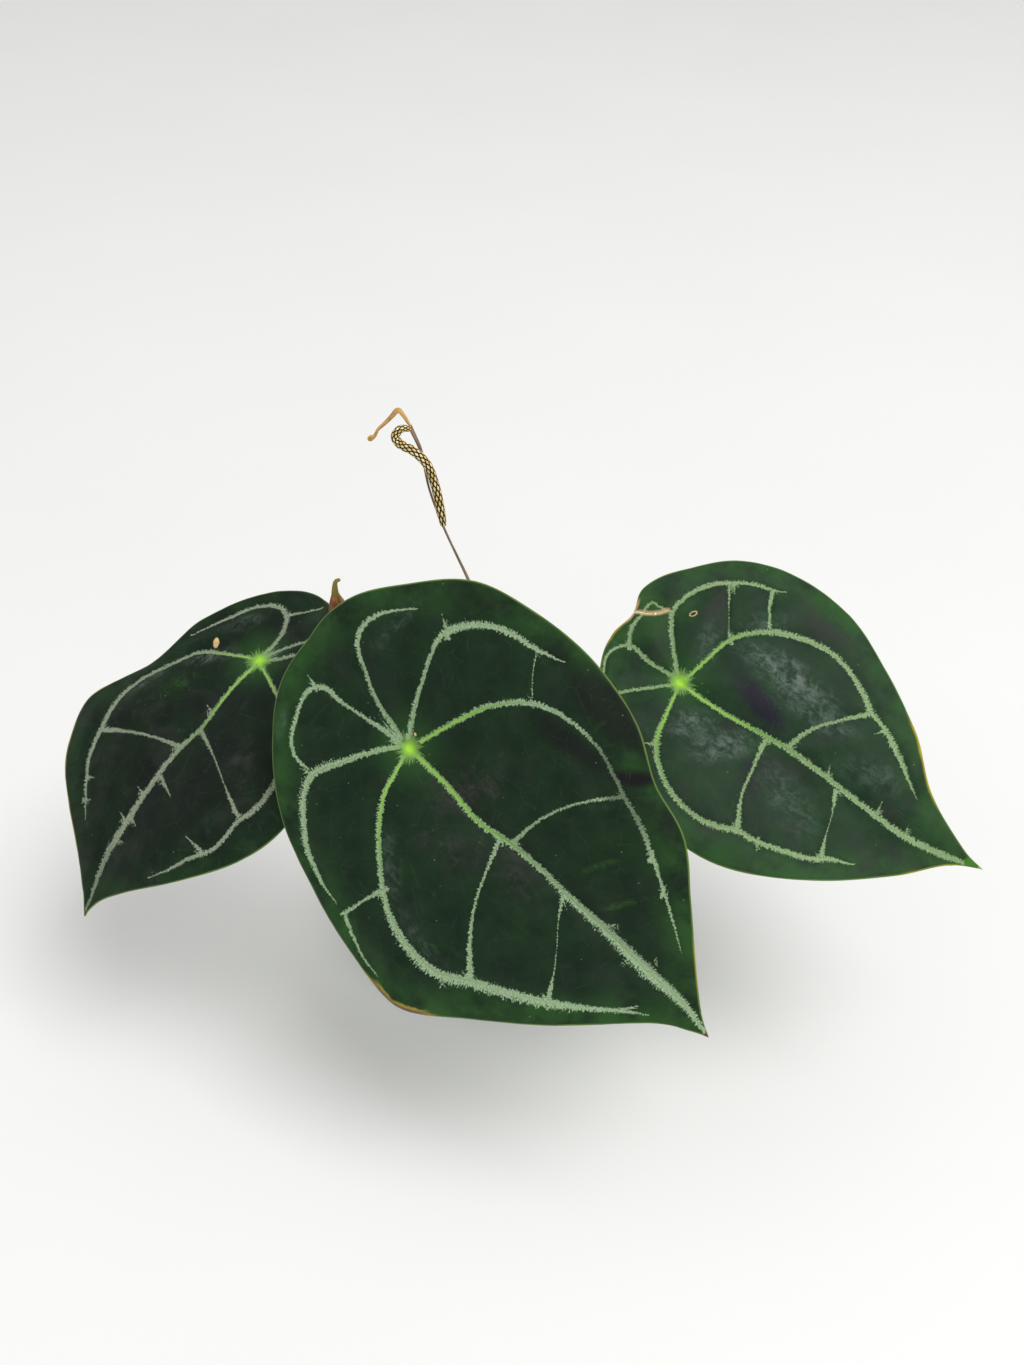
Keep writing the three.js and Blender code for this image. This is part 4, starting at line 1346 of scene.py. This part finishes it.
def soilPaint():
    paint = Paint("bark_mix_skin", hue(74, 53, 36))
    shade, charcoal, perlite = paint.parts(paint.attribute("shade"))
    place = paint.objectPlace()
    grain = paint.noise(paint.stretch(place, 1, 1, 3), 420, 5, 0.7)
    broad = paint.noise(place, 60, 2)
    bark = paint.ramp(
        shade * 0.7 + grain * 0.4 - 0.08,
        (0.1, hue(46, 30, 20)),
        (0.4, hue(92, 62, 40)),
        (0.7, hue(132, 92, 60)),
        (0.95, hue(170, 132, 94)),
    )
    bark = paint.mix(broad.between(0.5, 0.75) * 0.4, bark, hue(60, 42, 28))
    colour = paint.mix(charcoal.between(0.4, 0.6), bark, hue(34, 33, 33))
    colour = paint.mix(perlite.between(0.4, 0.6), colour, hue(216, 213, 202))
    return paint.finish(
        colour=colour, roughness=0.9, specular=0.25, normal=paint.bump(grain, 0.8, 0.0008)
    )


bm = bmesh.new()
shade = bm.verts.layers.float_vector.new("shade")
makeBed(bm)
draw = random.Random(soil["seed"])
makeChips(bm, shade, draw)
makeGrit(bm, shade, draw)
newPiece("potting_mix", bm, [soilPaint()], "soil")
print("potting mix made")


# Pot: a plain tapered nursery pot with a rim band and drain holes
def makePot(bm):
    rimFoot = pot["height"] - pot["rimDepth"]
    wall = pot["wall"]
    profile = [
        (0, 0), (pot["baseRadius"] - 1, 0), (pot["baseRadius"], 1.2), (pot["mouthRadius"], rimFoot),
        (pot["rimRadius"], rimFoot), (pot["rimRadius"], pot["height"]),
        (pot["rimRadius"] - wall, pot["height"]), (pot["rimRadius"] - wall, rimFoot + pot["rimStep"]),
        (pot["mouthRadius"] - wall, rimFoot), (pot["baseRadius"] - wall, pot["floor"]),
        (0, pot["floor"]),
    ]
    turned(bm, profile, pot["sides"])
    sharp = math.radians(pot["bevelOver"])
    rings = [edge for edge in bm.edges
             if len(edge.link_faces) == 2 and edge.calc_face_angle() > sharp]
    bmesh.ops.bevel(bm, geom=rings, offset=pot["edge"], affect="EDGES", segments=3, profile=0.5,
                    material=-1)


def makeDrains(bm):
    for i in range(pot["drainCount"]):
        turn = i / pot["drainCount"] * fullTurn
        spot = (pot["drainRing"] * math.cos(turn), pot["drainRing"] * math.sin(turn), 0)
        bmesh.ops.create_cone(bm, cap_ends=True, segments=32, radius1=pot["drainRadius"],
                              radius2=pot["drainRadius"], depth=4 * pot["floor"],
                              matrix=Matrix.Translation(spot))


def potPaint():
    paint = Paint("pot_plastic_skin", hue(43, 45, 46))
    place = paint.objectPlace()
    height = paint.parts(place)[2]
    grain = paint.noise(place, 1400, 2, 0.6)
    cloudy = paint.noise(place, 24, 4, 0.6)
    scuffs = paint.noise(paint.stretch(place, 1, 1, 5), 150, 4, 0.75, 0.4)
    colour = paint.mix(cloudy.between(0.3, 0.7), hue(36, 38, 39), hue(50, 52, 53))
    colour = paint.mix(scuffs.between(0.6, 0.72) * 0.35, colour, hue(92, 94, 94))
    dust = height.between(0.02, 0.0) * cloudy.between(0.4, 0.65)
    colour = paint.mix(dust * 0.4, colour, hue(120, 108, 92))
    rough = 0.48 + (cloudy - 0.5) * 0.25 + scuffs.between(0.55, 0.75) * 0.2
    return paint.finish(
        colour=colour, roughness=rough, specular=0.45, normal=paint.bump(grain, 0.15, 0.0002)
    )


bm = bmesh.new()
makePot(bm)
potPiece = newPiece("nursery_pot", bm, [potPaint()], "pot")
drains = bmesh.new()
makeDrains(drains)
cutter = meshObject("drains", drains)
cut = potPiece.modifiers.new("drains", "BOOLEAN")
cut.operation = "DIFFERENCE"
cut.object = cutter
cut.solver = "EXACT"
cutMesh = bpy.data.meshes.new_from_object(
    potPiece.evaluated_get(bpy.context.evaluated_depsgraph_get())
)
potPiece.modifiers.clear()
potPiece.data = cutMesh
bpy.data.objects.remove(cutter)
cutMesh.set_sharp_from_angle(angle=math.radians(pot["sharpOver"]))
print("pot made")


# Studio, in metres: a pale floor, a bright soft room and one broad light
studio = {
    "floorHalf": 8,
    "room": 0.68,
    "windowPlace": (1.3, -1.1, 3.6),
    "windowSize": 2.2,
    "windowWatts": 84,
    "aim": (0, 0, 0.2),
}

bm = bmesh.new()
bmesh.ops.create_grid(bm, x_segments=1, y_segments=1, size=studio["floorHalf"])
floor = meshObject("floor", bm, scale=1)
floorPaint = Paint("floor_pale", hue(235, 235, 233))
mottle = floorPaint.noise(floorPaint.objectPlace(), 3, 3)
floorPaint.finish(
    colour=floorPaint.mix(mottle, hue(238, 238, 236), hue(243, 243, 241)), roughness=0.8
)
floor.data.materials.append(floorPaint.material)

world = bpy.data.worlds.new("room")
world.use_nodes = True
background = world.node_tree.nodes["Background"]
background.inputs["Color"].default_value = (1, 1, 1, 1)
background.inputs["Strength"].default_value = studio["room"]
bpy.context.scene.world = world
lightData = bpy.data.lights.new("window", "AREA")
lightData.energy = studio["windowWatts"]
lightData.size = studio["windowSize"]
light = linked("window", lightData)
light.location = studio["windowPlace"]
towards = Vector(studio["aim"]) - light.location
light.rotation_euler = towards.to_track_quat("-Z", "Y").to_euler()
bpy.context.scene.view_settings.view_transform = "Standard"
print("studio lit")
